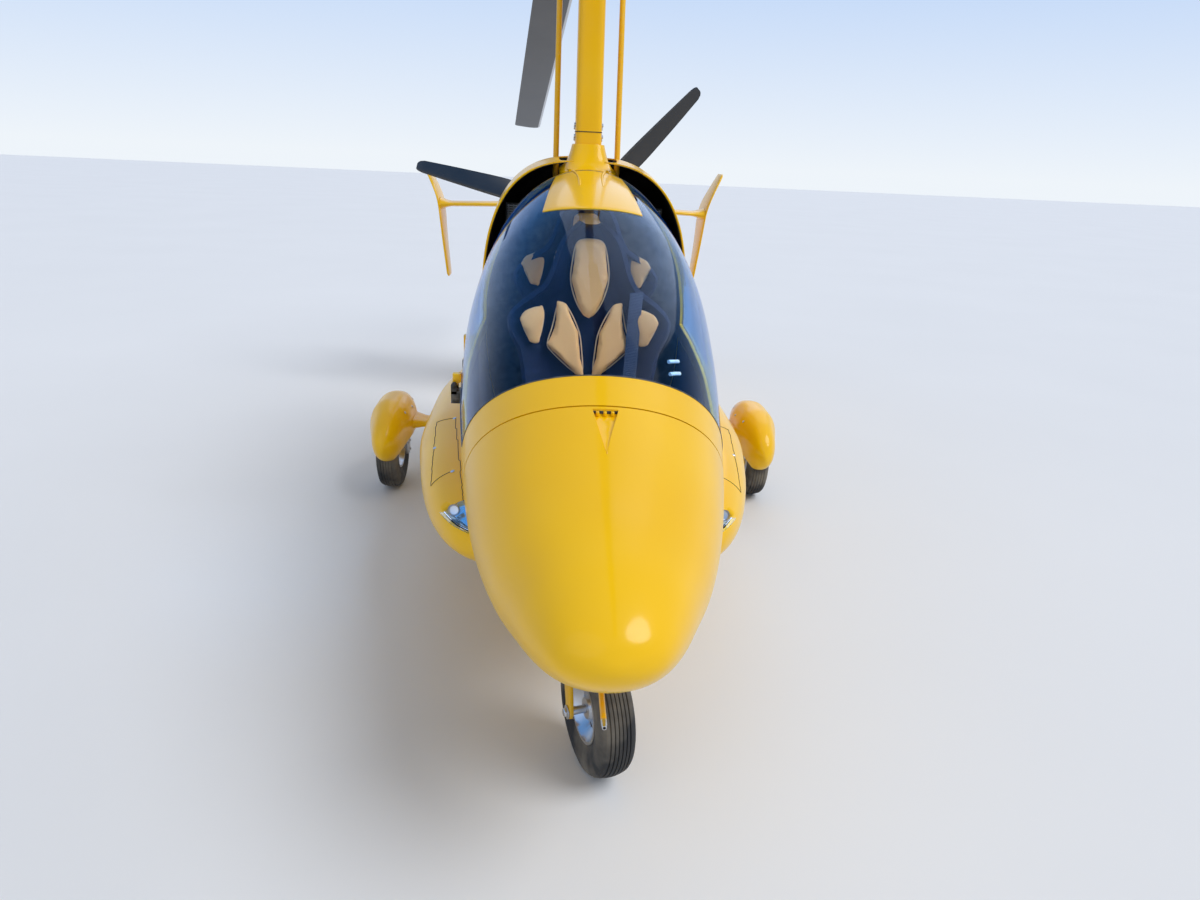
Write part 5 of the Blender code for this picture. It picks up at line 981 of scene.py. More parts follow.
for name, body, start, end in (("cover_welts", "airframe", -0.285, -0.376), ("roof_welts", "canopy", -0.419, -0.70)):
    shapes = []
    for side in (1, -1):
        path, sizes = [], []
        for k in spaced(0.0, 1.0, 20):
            y = blend(k, start, end)
            along = ramp(y, -0.70, 1.0, -0.285, 0.0)
            x = 0.040 + 0.062 * (1 - along) ** 3
            path.append(Vector((side * x, y, shell(y, around_at_x(y, x))[2] + blend(along, 0.0015, -0.003))))
            sizes.append(blend(along, 0.0065, 0.0045))
        shapes.append(bar(path, sizes, 16))
    piece(name, shapes, yellow, body=body)

# Mast: a rounded square alloy tube, powder coated, clamped in the frame and jointed above its cover with a dark
# gasket and bolts on its flanks. A thin conduit runs up its rear in clips.
def on_mast(z, x=0.0, back=0.0):
    """A point beside the mast's middle line at height z."""
    return Vector((x, ramp(z, 1.50, -0.23, 2.47, -0.035), z)) + across * back


def mast_ring(z, half_u, half_v):
    return [(u, on_mast(z).y + v, z) for u, v in rounded(0, 0, half_u, half_v, 5.0, 48)]


lean = Vector((0, 0.195, 0.97)).normalized()
across = Vector((0, lean.z, -lean.y))
mast_rings = [mast_ring(z, 0.052, 0.059) for z in [1.50] + spaced(1.60, 2.47, 12)]
piece("mast_tube", [tube(mast_rings)], yellow_satin, ["mast"], ease=0.0008)
piece("mast_gasket", [tube([mast_ring(z, 0.0535, 0.0605) for z in (1.6445, 1.6475)])], seam_black, ease=0.0005)
screws = []
for z in (1.625, 1.667, 2.30, 2.40):
    for side in (1, -1):
        for back in (-0.025, 0.025):
            screws += bolt(on_mast(z, side * 0.0515, back), (side, 0, 0), 0.0065)
piece("mast_bolts", screws, alloy)
conduit = [on_mast(z, 0.022, 0.064) for z in spaced(1.62, 2.42, 24)]
clips = [bar([on_mast(z, 0.022 + u, 0.060) for u in (-0.012, 0.012)], 0.0035, 8) for z in spaced(1.72, 2.36, 5)]
piece("mast_conduit", [bar(conduit, 0.0048, 12)] + clips, black)

# Push rods: two yellow alloy tubes up from the controls to the rotor head's cross bar. Each ends in a steel ball
# joint with its lock nut, and passes the cowl through a flat rubber grommet.
HUB = Vector((0, 0, 2.70))
TILT = Matrix.Rotation(-math.radians(12.4), 4, "X")
cross_centre = HUB + TILT @ Vector((0, 0.085, -0.19))
for side, word in SIDES:
    low = Vector((side * 0.125, -0.23, 1.50)) + across * 0.115 - lean * 0.03
    high = Vector((side * 0.125, cross_centre.y, cross_centre.z))
    way = (high - low).normalized()
    tip = high - way * 0.055
    path = [low, low + way * 0.05, tip - way * 0.012, tip]
    piece("push_tube_" + word, [bar(path, [0.0115, 0.0115, 0.0115, 0.0075], 24)], yellow_satin, ["push_rod_" + word])
    ends = [bar([tip, high - way * 0.016], 0.006, 16)]
    ends.append(turned([(0, 0), (0.011, 0), (0.011, 0.010), (0, 0.010)], tip + way * 0.006, way, 6))
    ends.append(turned([(0.0145, -0.009), (0.020, -0.007), (0.022, 0), (0.020, 0.007), (0.0145, 0.009)], high,
                       (1, 0, 0), 32, closed=True))
    piece("push_rod_end_" + word, ends, alloy, ease=0.0006)
    root = low + way * 0.085
    grommet = [(0.012, 0.0), (0.020, 0.0), (0.020, 0.003), (0.0145, 0.006), (0.012, 0.008)]
    foot = (root.x, root.y, shell(root.y, around_at_x(root.y, 0.125), 0, True)[2] - 0.002)
    piece("push_rod_boot_" + word, [turned(grommet, foot, way, 36, closed=True)], black,
          ease=0.0008)

# Rotor head: an alloy block, machined and bolted up, with the tilting bearing on top and a cross bar behind that
# the push rods move.
cheek = [(-0.070, -0.255), (0.055, -0.255), (0.060, -0.165), (0.045, -0.120), (-0.055, -0.120), (-0.070, -0.165)]
head = [prism(cheek, -0.045, 0.045, "X")]
bearing = [(0, -0.14), (0.046, -0.14), (0.058, -0.128), (0.058, -0.118), (0.054, -0.116), (0.054, -0.096),
           (0.058, -0.094), (0.058, -0.086), (0.036, -0.080), (0.029, -0.062), (0.0155, -0.061), (0.0155, -0.02),
           (0, -0.02)]
head.append(turned(bearing, (0, 0, 0), (0, 0, 1), 56))
head.append(slab((-0.020, 0.03, -0.205), (0.020, 0.088, -0.175)))
head.append(bar([(-0.142, 0.085, -0.19), (0.142, 0.085, -0.19)], 0.0138, 28))
for side in (1, -1):
    for y, z in ((-0.045, -0.225), (0.030, -0.225), (-0.010, -0.155)):
        head += bolt((side * 0.045, y, z), (side, 0, 0), 0.009)
    head += bolt((side * 0.142, 0.085, -0.19), (side, 0, 0), 0.008)
piece("head_block", moved(head, Matrix.Translation(HUB) @ TILT), alloy, ["rotor_head"], ease=0.002)

# Rotor: two long composite blades in dark grey, bolted between straps to an alloy hub bar that teeters on one
# bolt. Each has a bonded steel leading edge and a capped tip.
SPIN = Matrix.Translation(HUB) @ TILT @ Matrix.Rotation(math.radians(4.6), 4, "Z")


def airfoil(chord, thick, count=22):
    """Wing section outline from the leading edge over the top and back, as (along the chord, up)."""
    upper = []
    for i in range(count + 1):
        x = 0.5 * (1 - math.cos(math.pi * i / count))
        y = 5 * (0.2969 * math.sqrt(x) - 0.126 * x - 0.3516 * x**2 + 0.2843 * x**3 - 0.1015 * x**4)
        upper.append((x * chord, max(y * thick, 0.0008 if i else 0.0)))
    return upper + [(x, -y) for x, y in reversed(upper[1:])]


CHORD, THICK, RADIUS = 0.216, 0.027, 4.20
blade_paint = finish("rotor_blade_paint", "dark_grey_paint", (0.036, 0.038, 0.043), (0.046, 0.048, 0.054), "brushed",
                     120.0, 0.00008, 0.38, dust=0.15, wear=0.15)
hub_shapes = [prism(rounded(0, 0, 0.036, 0.022, 7.0, 28), -0.34, 0.34, "Y"),
              prism(rounded(0, -0.010, 0.050, 0.045, 6.0, 28), -0.058, 0.058, "Y")]
for side in (1, -1):
    hub_shapes += bolt((side * 0.050, 0, 0.012), (side, 0, 0), 0.014)
for side in (1, -1):
    for y in (0.235, 0.275, 0.315):
        for x in (-0.016, 0.016):
            for way in (1, -1):
                hub_shapes += bolt((x, side * y, way * 0.022), (0, 0, way), 0.007)
piece("hub_bar_assembly", moved(hub_shapes, SPIN), alloy, ["rotor_hub"], body="rotor", ease=0.002)
for side, word in ((1, "aft"), (-1, "fore")):
    rings, nose_rings = [], []
    reaches = [(0.20, 0.55), (0.26, 0.60), (0.32, 0.72), (0.38, 0.86), (0.44, 1.0)]
    reaches += [(r, 1.0) for r in spaced(0.6, 4.16, 18)] + [(4.185, 0.97), (RADIUS, 0.86)]
    for reach, share in reaches:
        scale = -side * share
        rings.append([(scale * (u - CHORD * 0.30), side * reach, v * share * (0.7 if reach > 4.19 else 1.0))
                      for u, v in airfoil(CHORD, THICK)])
        if reach > 0.43:
            section_points = [p for p in airfoil(CHORD, THICK) if p[0] < CHORD * 0.09]
            count = len(section_points)
            order = section_points[count // 2 + 1:] + section_points[:count // 2 + 1]
            nose_rings.append([(scale * (u - CHORD * 0.30 - 0.0004), side * (reach + 0.0004), v * share * 1.03)
                               for u, v in order])
    piece("blade_skin_" + word, moved([tube(rings)], SPIN), blade_paint, ["rotor_blade_" + word], body="rotor",
          sharp=40)
    piece("blade_nose_strip_" + word, moved([grid(nose_rings)], SPIN), alloy, body="rotor", wall=0.0005)
    rings = []
    for reach, half, tall in ((0.205, 0.046, 0.0235), (0.24, 0.052, 0.0255), (0.335, 0.052, 0.0255),
                              (0.36, 0.044, 0.0225)):
        rings.append([(u + 0.002 * side, side * reach, v) for u, v in rounded(0, 0, half, tall, 6.0, 32)])
    piece("blade_root_sleeve_" + word, moved([tube(rings)], SPIN), graphite, body="rotor", ease=0.001)

# Propeller: a black three-bladed composite propeller on an alloy hub with two clamp flanges and a small
# spinner, behind the engine. A grey erosion strip is bonded along each leading edge.
PROP, PROP_RADIUS = Vector((0, 0.858, 1.28)), 0.862
PROP_BLADE = (
    (0.064, 0.052, 62.0, 0.040), (0.139, 0.060, 52.0, 0.034), (0.232, 0.105, 40.0, 0.024),
    (0.418, 0.112, 28.0, 0.018), (0.696, 0.090, 19.0, 0.012), (1.000, 0.058, 14.0, 0.007),
)
composite = finish("black_composite", "black_composite", (0.010, 0.010, 0.011), (0.016, 0.016, 0.018), "weave",
                   1500.0, 0.00004, 0.30, dust=0.12, wear=0.2, Coat_Weight=0.4, Coat_Roughness=0.2)
hub = [(0.0, 0.010), (0.0225, 0.010), (0.0225, -0.055), (0.060, -0.055), (0.064, -0.052), (0.066, -0.032),
       (0.073, -0.030), (0.075, -0.027), (0.075, 0.027), (0.073, 0.030), (0.066, 0.034), (0.060, 0.055),
       (0.048, 0.067), (0.030, 0.077), (0, 0.082)]
shapes = [turned(hub, PROP, (0, 1, 0), 64)]
for k in range(6):
    a = math.radians(60 * k + 17)
    shapes += bolt(PROP + Vector((0.054 * math.cos(a), 0.0558, 0.054 * math.sin(a))), (0, 1, 0), 0.0055)
piece("prop_hub_clamp", shapes, alloy, ["prop_hub"], body="propeller", ease=0.001)
for number in (1, 2, 3):
    spoke = math.radians(47.0) + 2 * math.pi * (number - 1) / 3
    place = Matrix.Translation(PROP) @ Matrix.Rotation(math.pi / 2 - spoke, 4, "Y")
    rings, strip = [], []
    for share in spaced(0.088, 0.985, 40) + [0.995, 1.0]:
        chord, pitch, thick = (curve(PROP_BLADE, k, share) for k in (1, 2, 3))
        if share > 0.96:
            tip = math.sqrt(max(1.0 - ((share - 0.96) / 0.0405) ** 2, 0.03))
            chord, thick = chord * (0.35 + 0.65 * tip), thick * (0.3 + 0.7 * tip)
        twist = Matrix.Rotation(math.radians(pitch), 4, "Z")
        ring = [place @ twist @ Vector((u - chord * 0.35, v, share * PROP_RADIUS)) for u,
                v in airfoil(chord, thick, 16)]
        rings.append(ring)
        if 0.40 < share < 0.97:
            order = list(range(len(ring) - 3, len(ring))) + list(range(0, 4))
            middle = sum(ring, Vector()) / len(ring)
            strip.append([ring[i] + (ring[i] - middle).normalized() * 0.0004 for i in order])
    piece("prop_blade_skin_%d" % number, [tube(rings)], composite,
          ["prop_blade_%d" % number], body="propeller", sharp=50)
    piece("prop_edge_strip_%d" % number, [grid(strip)], graphite, body="propeller", wall=0.0004)

# Tail boom: an alloy box section with rounded corners, powder coated and bolted under the belly. Fishplates join
# its lengths, and an alloy-shod rubbing skid is welded to its end.
BOOM_Z = 0.335
boom = rounded(0, BOOM_Z, 0.035, 0.040, 9.0, 40)
rings = [[(u, 0.26, v if v > BOOM_Z else BOOM_Z + (v - BOOM_Z) * 0.9) for u, v in boom]]
rings += [[(u, y, v) for u, v in boom] for y in [0.55] + spaced(0.74, 2.395, 12)]
rings.append([(u * 0.93, 2.40, BOOM_Z + (v - BOOM_Z) * 0.94) for u, v in boom])
skid = [(2.18, 0.305), (2.235, 0.245), (2.28, 0.220), (2.34, 0.206), (2.385, 0.220), (2.400, 0.238), (2.388, 0.305)]
piece("boom_tube", [tube(rings), prism(skid, -0.012, 0.012, "X")], yellow_satin,
      ["tail_boom"], ease=0.002)
shoe = [(2.26, 0.2275), (2.30, 0.2125), (2.345, 0.2050), (2.385, 0.2185), (2.384, 0.2215), (2.345, 0.2085),
        (2.30, 0.2160), (2.26, 0.2310)]
piece("skid_shoe", [prism(shoe, -0.0125, 0.0125, "X")], alloy, ease=0.0006)
fittings = []
for y in (0.80, 0.86, 1.53, 1.60, 1.95, 2.02, 2.22):
    for side in (1, -1):
        fittings += bolt((side * 0.035, y, 0.352), (side, 0, 0), 0.0065)
        if y < 1.0 or y > 2.1:
            fittings += bolt((side * 0.035, y, 0.318), (side, 0, 0), 0.0065)
piece("boom_bolts", fittings, alloy)
collar = [(u * 1.02, v) for u, v in rounded(0, BOOM_Z, 0.0358, 0.0408, 9.0, 40)]
for y in (0.835, 2.12):
    ring = [[(u, y + d, v) for u, v in collar] for d in (-0.0015, 0.0015)]
    piece("boom_joint_%d" % round(y * 1000), [tube(ring)], seam_black, ease=0.0005)

# Fin and rudder: hollow yellow composite mouldings. The fin is bonded to a foot on the boom; the rudder hangs
# behind it on two alloy lugs with pins, and a horn near its foot takes the controls.
def blunt(chord, half, count=20):
    upper = []
    for i in range(count + 1):
        along = (i / count) ** 2
        swell = min(along / 0.35, 1.0)
        upper.append((along * chord, half * math.sqrt(max(2 * swell - swell**2, 0.0))))
    return upper + [(x, -y) for x, y in reversed(upper[1:])]


HINGE_Y, LUG_ZS = 2.13, (0.60, 1.38)
rings = []
for k in spaced(0.0, 1.0, 14):
    z, front = blend(k, 0.3755, 1.505), blend(k, 1.50, 1.855)
    flare = 1.0 + 0.45 * max(0.0, 1.0 - k / 0.06) ** 2
    rings.append([(v * flare, front + u, z) for u, v in blunt(HINGE_Y - 0.028 - front, 0.021)])
for lift, share in ((0.008, 0.90), (0.013, 0.6), (0.015, 0.25)):
    front = 1.858 + lift
    rings.append([(v * share, front + u, 1.505 + lift) for u, v in blunt(HINGE_Y - 0.028 - front, 0.021)])
lugs = []
for z in LUG_ZS:
    lugs.append(slab((-0.010, HINGE_Y - 0.032, z - 0.006), (0.010, HINGE_Y + 0.009, z + 0.006)))
    lugs.append(bar([(0, HINGE_Y, z - 0.023), (0, HINGE_Y, z + 0.023)], 0.005, 20))
piece("fin_skin", [tube(rings)], yellow, ["tail_fin"], sharp=60)
piece("fin_lugs", lugs, alloy, ease=0.0012)
rings = []
for k in [-0.006, 0.0] + spaced(0.02, 1.0, 16) + [1.006]:
    z = blend(k, 0.426, 1.494)
    share, pinch = blend(min(max(k, 0), 1), 1.0, 0.86), (0.8 if k < 0 or k > 1 else 1.0)
    nose = 0.0193 * pinch
    ring = [(-nose * math.sin(a), HINGE_Y - nose * math.cos(a), z) for a in spaced(math.pi / 2, -math.pi / 2, 16)]
    back = [(nose * (1 - j) ** 1.1 + 0.0016, HINGE_Y + 0.30 * share * j, z) for j in spaced(0.08, 1.0, 10)]
    rings.append(ring + back + [(-x, y, z) for x, y, z in reversed(back)])
notches = [slab((-0.05, HINGE_Y - 0.042, z - 0.011), (0.05, HINGE_Y + 0.014, z + 0.011)) for z in LUG_ZS]
piece("rudder_skin", [tube(rings)], yellow, ["rudder"], body="rudder", cuts=notches, sharp=50)
horn = [bar([(-0.060, HINGE_Y + 0.010, 0.52), (0.060, HINGE_Y + 0.010, 0.52)], 0.006, 16)]
for side in (1, -1):
    horn.append(turned([(0, -0.003), (0.009, -0.003), (0.009, 0.003), (0, 0.003)],
                       (side * 0.055, HINGE_Y + 0.010, 0.52), (0, 1, 0), 24))
piece("rudder_horn", horn, alloy, body="rudder", ease=0.0006)

# Tailplane: two hollow yellow composite mouldings bolted to the fin, each swelling into its canted end fin
# through a fillet.
END_FIN = ((-0.481, -0.042, 0.070, 0.200), (-0.209, -0.017, 0.010, 0.270), (-0.029, -0.001, -0.020, 0.335),
           (0.031, 0.009, -0.020, 0.335), (0.264, 0.121, 0.110, 0.200))
for side, word in SIDES:
    rings = []
    for share in spaced(0.0, 1.0, 36):
        x = blend(share, 0.0213, 0.883)
        swell = max(0.0, (share - 0.90) / 0.10) ** 2.2
        root = max(0.0, 1.0 - share / 0.03) ** 2
        front, chord = blend(share, 1.74, 2.05) - 0.012 * swell, blend(share, 0.36, 0.31) + 0.02 * swell
        z = blend(share, 1.272, 1.229)
        thick = 0.034 * (1 + 1.6 * swell + 0.5 * root)
        rings.append([(side * x, front + u, z + v) for u, v in airfoil(chord, thick)])
    fin = []
    for z in [-0.481, -0.478, -0.472] + spaced(-0.46, 0.244, 30) + [0.256, 0.262, 0.264]:
        x, front, chord = (curve(END_FIN, k, z) for k in (1, 2, 3))
        near = min(z + 0.481, 0.264 - z)
        tip = math.sqrt(min(1.0, 0.12 + near / 0.02))
        inset = (1 - tip) * 0.05
        fin.append([(side * (0.885 + x + v * tip), 2.05 + front + inset + u * (1 - inset / chord * 1.5), 1.229 + z)
                    for u, v in airfoil(chord, 0.024)])
    piece("tailplane_skin_" + word, [tube(rings)], yellow, ["tailplane_" + word], sharp=60)
    piece("end_fin_skin_" + word, [tube(fin)], yellow, sharp=60)

# Main gear: a sprung composite bow, moulded and sprayed yellow, that swells into a cuff at each spat. Two alloy
# clamps bolt it under the belly.
MAIN_X, MAIN_Y, MAIN_Z = 0.877, 0.147, 0.200
belly = station(MAIN_Y)[3] - 0.0003 - 0.017
rings = []
for k in spaced(-1.0, 1.0, 64):
    x = 0.800 * k
    bend = max(0.0, (abs(x) - 0.42) / (0.80 - 0.42))
    ease = bend * bend * (3 - 2 * bend) * 0.35 + bend * 0.65
    z = blend(ease, belly, 0.330)
    cuff = max(0.0, (abs(x) - 0.70) / 0.10) ** 1.6
    front, rear = 0.0575 + 0.040 * cuff, 0.0575 + 0.088 * cuff
    tall = 0.017 + 0.017 * cuff
    ring = []
    for u, v in rounded(0, 0, 1.0, tall, 3.2, 40):
        ring.append((x, MAIN_Y + u * (rear if u > 0 else front), z + v * (1 - 0.3 * cuff * max(u, 0))))
    rings.append(ring)
piece("gear_spring", [tube(rings)], yellow, ["gear_bow"], sharp=50)
clamps = []
for x in (-0.16, 0.16):
    clamps.append(slab((x - 0.03, MAIN_Y - 0.072, belly - 0.0225), (x + 0.03, MAIN_Y + 0.072, belly - 0.0175)))
    for y in (0.085, 0.209):
        clamps += bolt((x, y, belly - 0.0225), (0, 0, -1), 0.009)
piece("gear_clamps", clamps, alloy, ease=0.0015)

# Spats: egg-shaped glass-fibre shells open below for the tyre, the lower inner edge cut away on a slant round
# the axle, screwed to the cuff of the spring.
SPAT_X, SPAT_FRONT, SPAT_REAR = 0.865, -0.165, 0.52
SPAT = ((0.00, 0.008, 0.300, 0.272), (0.03, 0.036, 0.345, 0.236), (0.10, 0.060, 0.390, 0.206),
        (0.22, 0.079, 0.430, 0.186), (0.36, 0.100, 0.453, 0.180), (0.52, 0.100, 0.455, 0.185),
        (0.68, 0.077, 0.432, 0.205), (0.84, 0.050, 0.385, 0.240), (0.95, 0.022, 0.342, 0.275),
        (1.00, 0.006, 0.322, 0.298),)


def spat_ring(side, share, count=56):
    half, top, bottom = (curve(SPAT, k, share) for k in (1, 2, 3))
    y = blend(share, SPAT_FRONT, SPAT_REAR)
    outline = rounded(side * SPAT_X, (top + bottom) / 2, half, (top - bottom) / 2, 2.2, count)
    return [Vector((u, y, v)) for u, v in outline]


for side, word in SIDES:
    rings = [[Vector((side * SPAT_X, SPAT_FRONT - 0.0015, 0.286))] * 56]
    rings += [spat_ring(side, s) for s in [0.0, 0.008, 0.018] + spaced(0.03, 0.97, 44) + [0.985, 0.995, 1.0]]
    rings.append([Vector((side * SPAT_X, SPAT_REAR + 0.0012, 0.310))] * 56)
    x0, x1 = sorted((side * 0.816, side * 0.938))
    mouth = [(-0.067, 0.10), (-0.067, 0.215), (0.361, 0.215), (0.361, 0.10)]
    slant = [(side * 0.740, 0.10), (side * 0.838, 0.10), (side * 0.838, 0.200), (side * 0.740, 0.322)]
    piece("spat_shell_" + word, [grid(rings, across=True)], yellow, ["spat_" + word],
          wall=0.0035, cuts=[prism(mouth, x0, x1, "X"), prism(slant, -0.20, 0.56, "Y")], sharp=50)
    trim = []
    for y in (0.03, 0.147, 0.27):
        ring = spat_ring(side, (y - SPAT_FRONT) / (SPAT_REAR - SPAT_FRONT), 160)
        spot = min((p for p in ring if side * (p.x - side * SPAT_X) < 0), key=lambda p: abs(p.z - 0.400))
        trim.append(turned([(0, 0.003), (0.005, 0.0024), (0.0068, 0), (0, 0)], spot, (-side, 0, 0.6), 20))
    piece("spat_screws_" + word, trim, alloy)

# Wheels: ribbed rubber tyres on two-part cast alloy rims, held together by a ring of bolts, with a valve. Each
# main wheel turns on a steel stub axle whose plate is bolted to the end of the bow.
rubber = finish("tyre_rubber", "tyre_rubber", (0.018, 0.018, 0.019), (0.028, 0.027, 0.026), "moulded", 500.0, 0.0002,
                0.78, dust=0.9)


def wheel(name, centre, radius, width, rim, body, cad, grooves, turn=0.0):
    """A tyre and its rim about centre, the axle along X before it is turned about Z."""
    half = width / 2
    tread = half * 0.74
    crown = []
    for k in spaced(-1.0, 1.0, 120):
        z = k * tread
        r = radius - 0.007 * k * k - 0.0012
        phase = (k + 1) / 2 * grooves
        inside = abs(phase % 1.0 - 0.5) > 0.5 - 0.13 and 0.5 < phase < grooves - 0.4
        crown.append((r - (0.0040 if inside else 0.0), z))
    middle = rim + (radius - rim) * 0.45
    wall_out = [(radius - 0.0085, tread), (radius - 0.014, half * 0.88), (radius - 0.028, half * 0.965),
                (middle, half), (rim + 0.022, half * 0.93), (rim + 0.012, half * 0.84), (rim + 0.008, half * 0.80),
                (rim + 0.001, half * 0.78)]
    profile = [(r, -z) for r, z in reversed(wall_out)] + crown + wall_out
    profile = [(rim, -half * 0.70)] + profile + [(rim, half * 0.70)]
    shapes = [turned(profile, (0, 0, 0), (0, 0, 1), 96, closed=True)]
    for z in (-1, 1):
        ring = [(rim + 0.034, z * half * 0.972), (rim + 0.0355, z * (half * 0.972 + 0.0012)),
                (rim + 0.037, z * half * 0.972)]
        shapes.append(turned(ring + [(rim + 0.0355, z * (half * 0.95))], (0, 0, 0), (0, 0, 1), 96, closed=True))
    rim_half = [(0.0118, 0.62), (0.028, 0.60), (0.034, 0.28), (rim - 0.030, 0.22), (rim - 0.014, 0.58),
                (rim - 0.008, 0.80), (rim - 0.0003, 0.80)]
    section = [(r, -half * z) for r, z in rim_half] + [(r, half * z) for r, z in reversed(rim_half)]
    metal = [turned(section, (0, 0, 0), (0, 0, 1), 72, closed=True)]
    for k in range(6):
        a = math.radians(60 * k + 30)
        for z in (-1, 1):
            metal += bolt((0.047 * math.cos(a), 0.047 * math.sin(a), z * half * 0.25), (0, 0, z), 0.0048)
    metal.append(bar([((rim - 0.022) * 0.99, 0, -half * 0.30), ((rim - 0.022) * 0.99, 0, -half * 0.75)], 0.0035, 12))
    holes = []
    for k in range(6):
        a = math.radians(60 * k)
        holes.append(turned([(0, -0.06), (0.0075, -0.06), (0.0075, 0.06), (0, 0.06)],
                            (0.055 * math.cos(a), 0.055 * math.sin(a), 0), (0, 0, 1), 24))
    place = Matrix.Translation(centre) @ Matrix.Rotation(turn, 4, "Z") @ Matrix.Rotation(math.pi / 2, 4, "Y")
    piece(name + "_ribbed_tyre", moved(shapes, place), rubber, [cad + "_tyre"], body=body, sharp=28)
    piece(name + "_rim_halves", moved(metal, place), alloy, [cad + "_rim"], body=body, ease=0.0008,
          cuts=moved(holes, place))


NOSE_STEER = math.radians(18.0)
STEER = Matrix.Translation((0, -1.808, 0)) @ Matrix.Rotation(NOSE_STEER, 4, "Z")
wheel("nose_wheel", STEER @ Vector((0, -0.050, 0.180)), 0.180, 0.098, 0.092, "nose_wheel", "nose", 7, NOSE_STEER)
for side, word in SIDES:
    hub = Vector((side * MAIN_X, MAIN_Y, MAIN_Z))
    wheel("main_wheel_" + word, hub, 0.200, 0.102, 0.105, "main_wheel_" + word, "main_" + word, 6)
    stub = [(0, 0), (0.0108, 0), (0.0108, 0.118), (0, 0.118)]
    axle = [turned(stub, (side * 0.806, MAIN_Y, MAIN_Z), (side, 0, 0), 28)]
    x0, x1 = sorted((side * 0.8005, side * 0.8115))
    axle.append(prism(rounded(MAIN_Y, 0.235, 0.035, 0.070, 5.0, 32), x0, x1, "X"))
    for z in (0.022, -0.022):
        for y in (-0.022, 0.022):
            axle += bolt((side * 0.8005, MAIN_Y + y, MAIN_Z + z), (-side, 0, 0), 0.006)
    axle += bolt((side * 0.925, MAIN_Y, MAIN_Z), (side, 0, 0), 0.014)
    piece("main_axle_" + word, axle, alloy, ease=0.001)

# Nose gear: a yellow fork of two plate legs under a crown, turning in a collar below the belly, with an axle
# bolt, nuts and steering links.
leg = [(-0.026, 0.3955), (-0.028, 0.372), (-0.050, 0.300), (-0.066, 0.205), (-0.0695, 0.180), (-0.064, 0.166),
       (-0.050, 0.1605), (-0.036, 0.166), (-0.0305, 0.180), (-0.030, 0.200), (0.000, 0.300), (0.028, 0.372),
       (0.030, 0.3955)]
fork = [prism(leg, side * 0.068 if side > 0 else -0.079, 0.079 if side > 0 else -0.068, "X") for side in (1, -1)]
crown = [(-0.079, 0.3745), (0.079, 0.3745), (0.079, 0.388), (0.066, 0.3955), (-0.066, 0.3955), (-0.079, 0.388)]
fork.append(prism(crown, -0.026, 0.030, "Y"))
fork.append(turned([(0, 0.374), (0.020, 0.374), (0.020, 0.4015), (0.012, 0.4015), (0.012, 0.4215), (0, 0.4215)],
                   (0, 0, 0), (0, 0, 1), 36))
piece("fork_legs", moved(fork, STEER), yellow_satin, ["nose_fork"], body="nose_fork", ease=0.0022, rows=3)
axle = [bar([(-0.086, -0.050, 0.180), (0.086, -0.050, 0.180)], 0.0108, 28)]
for side in (1, -1):
    axle += bolt((side * 0.080, -0.050, 0.180), (side, 0, 0), 0.0125)
piece("fork_axle", moved(axle, STEER), alloy, body="nose_fork", ease=0.001)
links = [bar([(side * 0.060, 0.010, 0.3990), (side * 0.052, 0.010, 0.4120)], 0.0055, 14) for side in (1, -1)]
piece("fork_steer_lugs", moved(links, STEER), alloy, body="nose_fork", ease=0.0006)

# Pressure tube: a thin yellow alloy pipe, bent forward where it leaves the belly, with an open alloy tip.
tip_z = station(-2.10)[3] - 0.006
pipe = [(0, -2.10, station(-2.10)[3] + 0.02), (0, -2.110, tip_z + 0.012), (0, -2.126, tip_z + 0.003),
        (0, -2.152, tip_z), (0, -2.29, tip_z)]
piece("pressure_pipe", [bar(pipe, 0.0063, 20)], yellow_satin, ["pitot_tube"])
nozzle = [(0.0032, -0.004), (0.0063, -0.004), (0.0063, 0.008), (0.0048, 0.020), (0.0032, 0.020)]
piece("pressure_pipe_tip", [turned(nozzle, (0, -2.29, tip_z), (0, -1, 0), 24, closed=True)], alloy)

# Pieces kept as the solids made them: the cast engine block, radiator frames, bulkhead and floor panel fixed in
# the tub, and the collar of the nose leg. They only get a finish.
cast = finish("cast_metal", "alloy", (0.20, 0.20, 0.21), (0.15, 0.15, 0.16), "moulded", 400.0, 0.0004, 0.55, dust=0.4,
              wear=0.3, Metallic=0.8)
kept = {"engine_block": cast, "radiator_port": black, "radiator_starboard": black, "cabin_bulkhead": black,
        "cabin_floor": felt_painted_sky_blue, "nose_collar": yellow_satin}
for name, paint in kept.items():
    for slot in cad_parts[name].material_slots:
        slot.material = paint

# Studio: a plain pale floor that keeps the shadow, a pale surround that mirrors as sky, three soft lamps, and the
# photograph's view.
floor_paint = bpy.data.materials.new("studio_floor")
floor_paint.use_nodes = True
tree = floor_paint.node_tree
tree.links.new(mixed(tree, noise(tree, 0.6), (0.74, 0.755, 0.78, 1), (0.78, 0.795, 0.82, 1)),
               tree.nodes["Principled BSDF"].inputs["Base Color"])
tree.nodes["Principled BSDF"].inputs["Roughness"].default_value = 0.85
floor = raw("studio_floor", [([(-70, -70, 0), (70, -70, 0), (70, 70, 0), (-70, 70, 0)], [(0, 1, 2, 3)])])
floor.data.materials.append(floor_paint)
floor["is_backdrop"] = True
world = bpy.data.worlds.new("pale_surround")
world.use_nodes = True
bpy.context.scene.world = world
tree = world.node_tree
back = tree.nodes["Background"]
rays = add(tree, "LightPath", {}).outputs
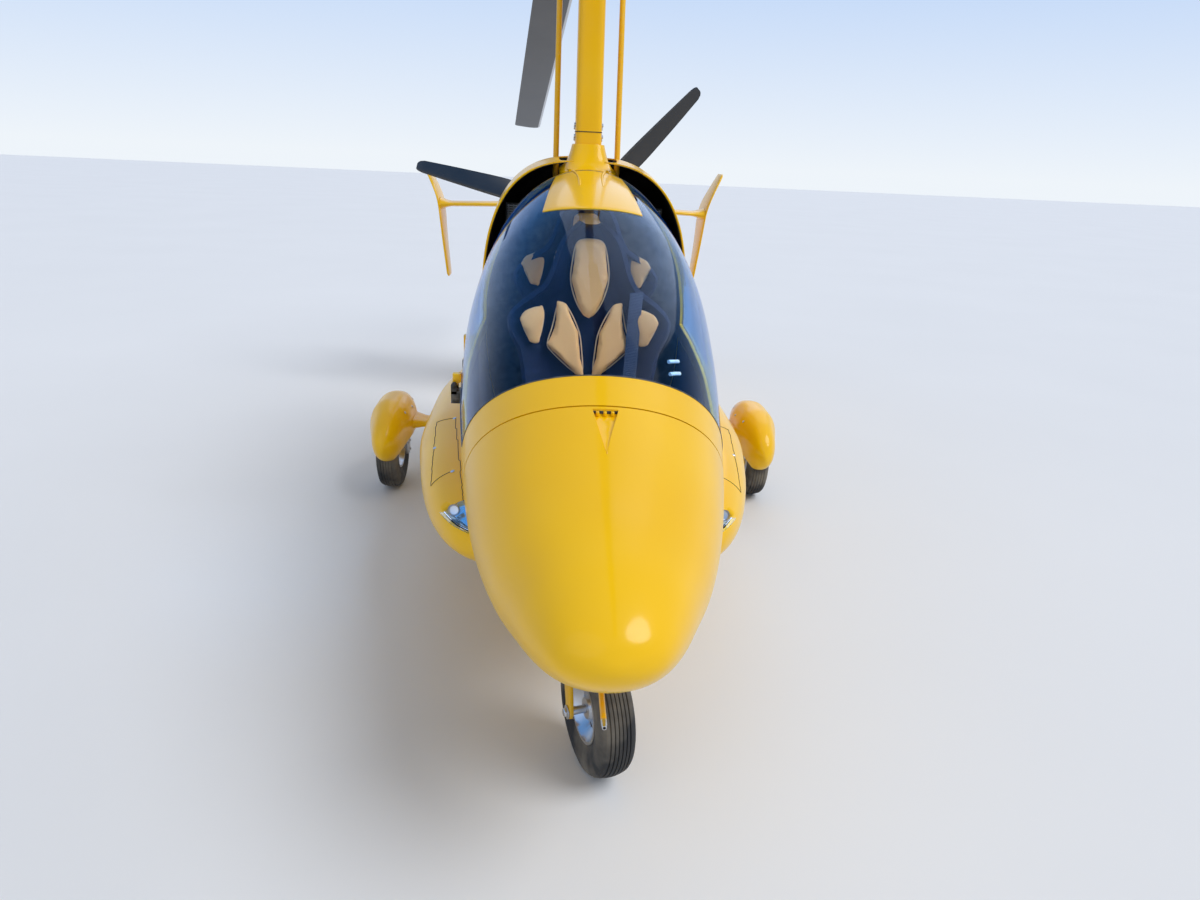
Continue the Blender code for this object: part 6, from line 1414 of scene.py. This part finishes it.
seen = times(tree, times(tree, rays["Is Camera Ray"], rays["Is Glossy Ray"], "MAXIMUM"), rays["Is Transmission Ray"],
             "MAXIMUM")
up = add(tree, "SeparateXYZ", {0: add(tree, "TexCoord", {}).outputs["Generated"]}).outputs["Z"]
sky = mixed(tree, span(tree, up, 0.0, 0.45), (0.86, 0.91, 0.96, 1), (0.12, 0.40, 0.92, 1))
tree.links.new(mixed(tree, seen, (0.80, 0.87, 1.0, 1), sky), back.inputs[0])
tree.links.new(span(tree, seen, 0.0, 1.0, 0.42, 1.0), back.inputs[1])
LAMPS = (("key", (0.75, -0.35, 1.0), 34.0, 1.85), ("fill", (-0.8, -0.9, 0.7), 60.0, 0.35),
         ("rear", (0.3, 1.0, 0.8), 50.0, 0.5))
for name, toward, spread_angle, power in LAMPS:
    lamp = bpy.data.lights.new(name, "SUN")
    lamp.angle, lamp.energy = math.radians(spread_angle), power
    holder = bpy.data.objects.new(name, lamp)
    bpy.context.scene.collection.objects.link(holder)
    holder.rotation_euler = Vector(toward).to_track_quat("Z", "Y").to_euler()
bpy.context.scene.view_settings.view_transform = "Standard"

EYE = Vector((-0.12513, -3.70346, 1.53939))
YAW, PITCH, ROLL = (math.radians(turn) for turn in (3.73, 19.13, 2.61))
ahead = Vector((math.sin(YAW) * math.cos(PITCH), math.cos(YAW) * math.cos(PITCH), -math.sin(PITCH)))
right = Vector((math.cos(YAW), -math.sin(YAW), 0))
above = right.cross(ahead)
right, above = right * math.cos(ROLL) + above * math.sin(ROLL), above * math.cos(ROLL) - right * math.sin(ROLL)
lens = bpy.data.cameras.new("photo_view")
lens.sensor_width, lens.lens, lens.clip_start, lens.clip_end = 36.0, 24.927, 0.05, 300.0
camera = bpy.data.objects.new("photo_view", lens)
bpy.context.scene.collection.objects.link(camera)
camera.matrix_world = Matrix(((right.x, above.x, -ahead.x, EYE.x), (right.y, above.y, -ahead.y, EYE.y),
                              (right.z, above.z, -ahead.z, EYE.z), (0, 0, 0, 1)))
bpy.context.scene.camera = camera

low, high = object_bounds()
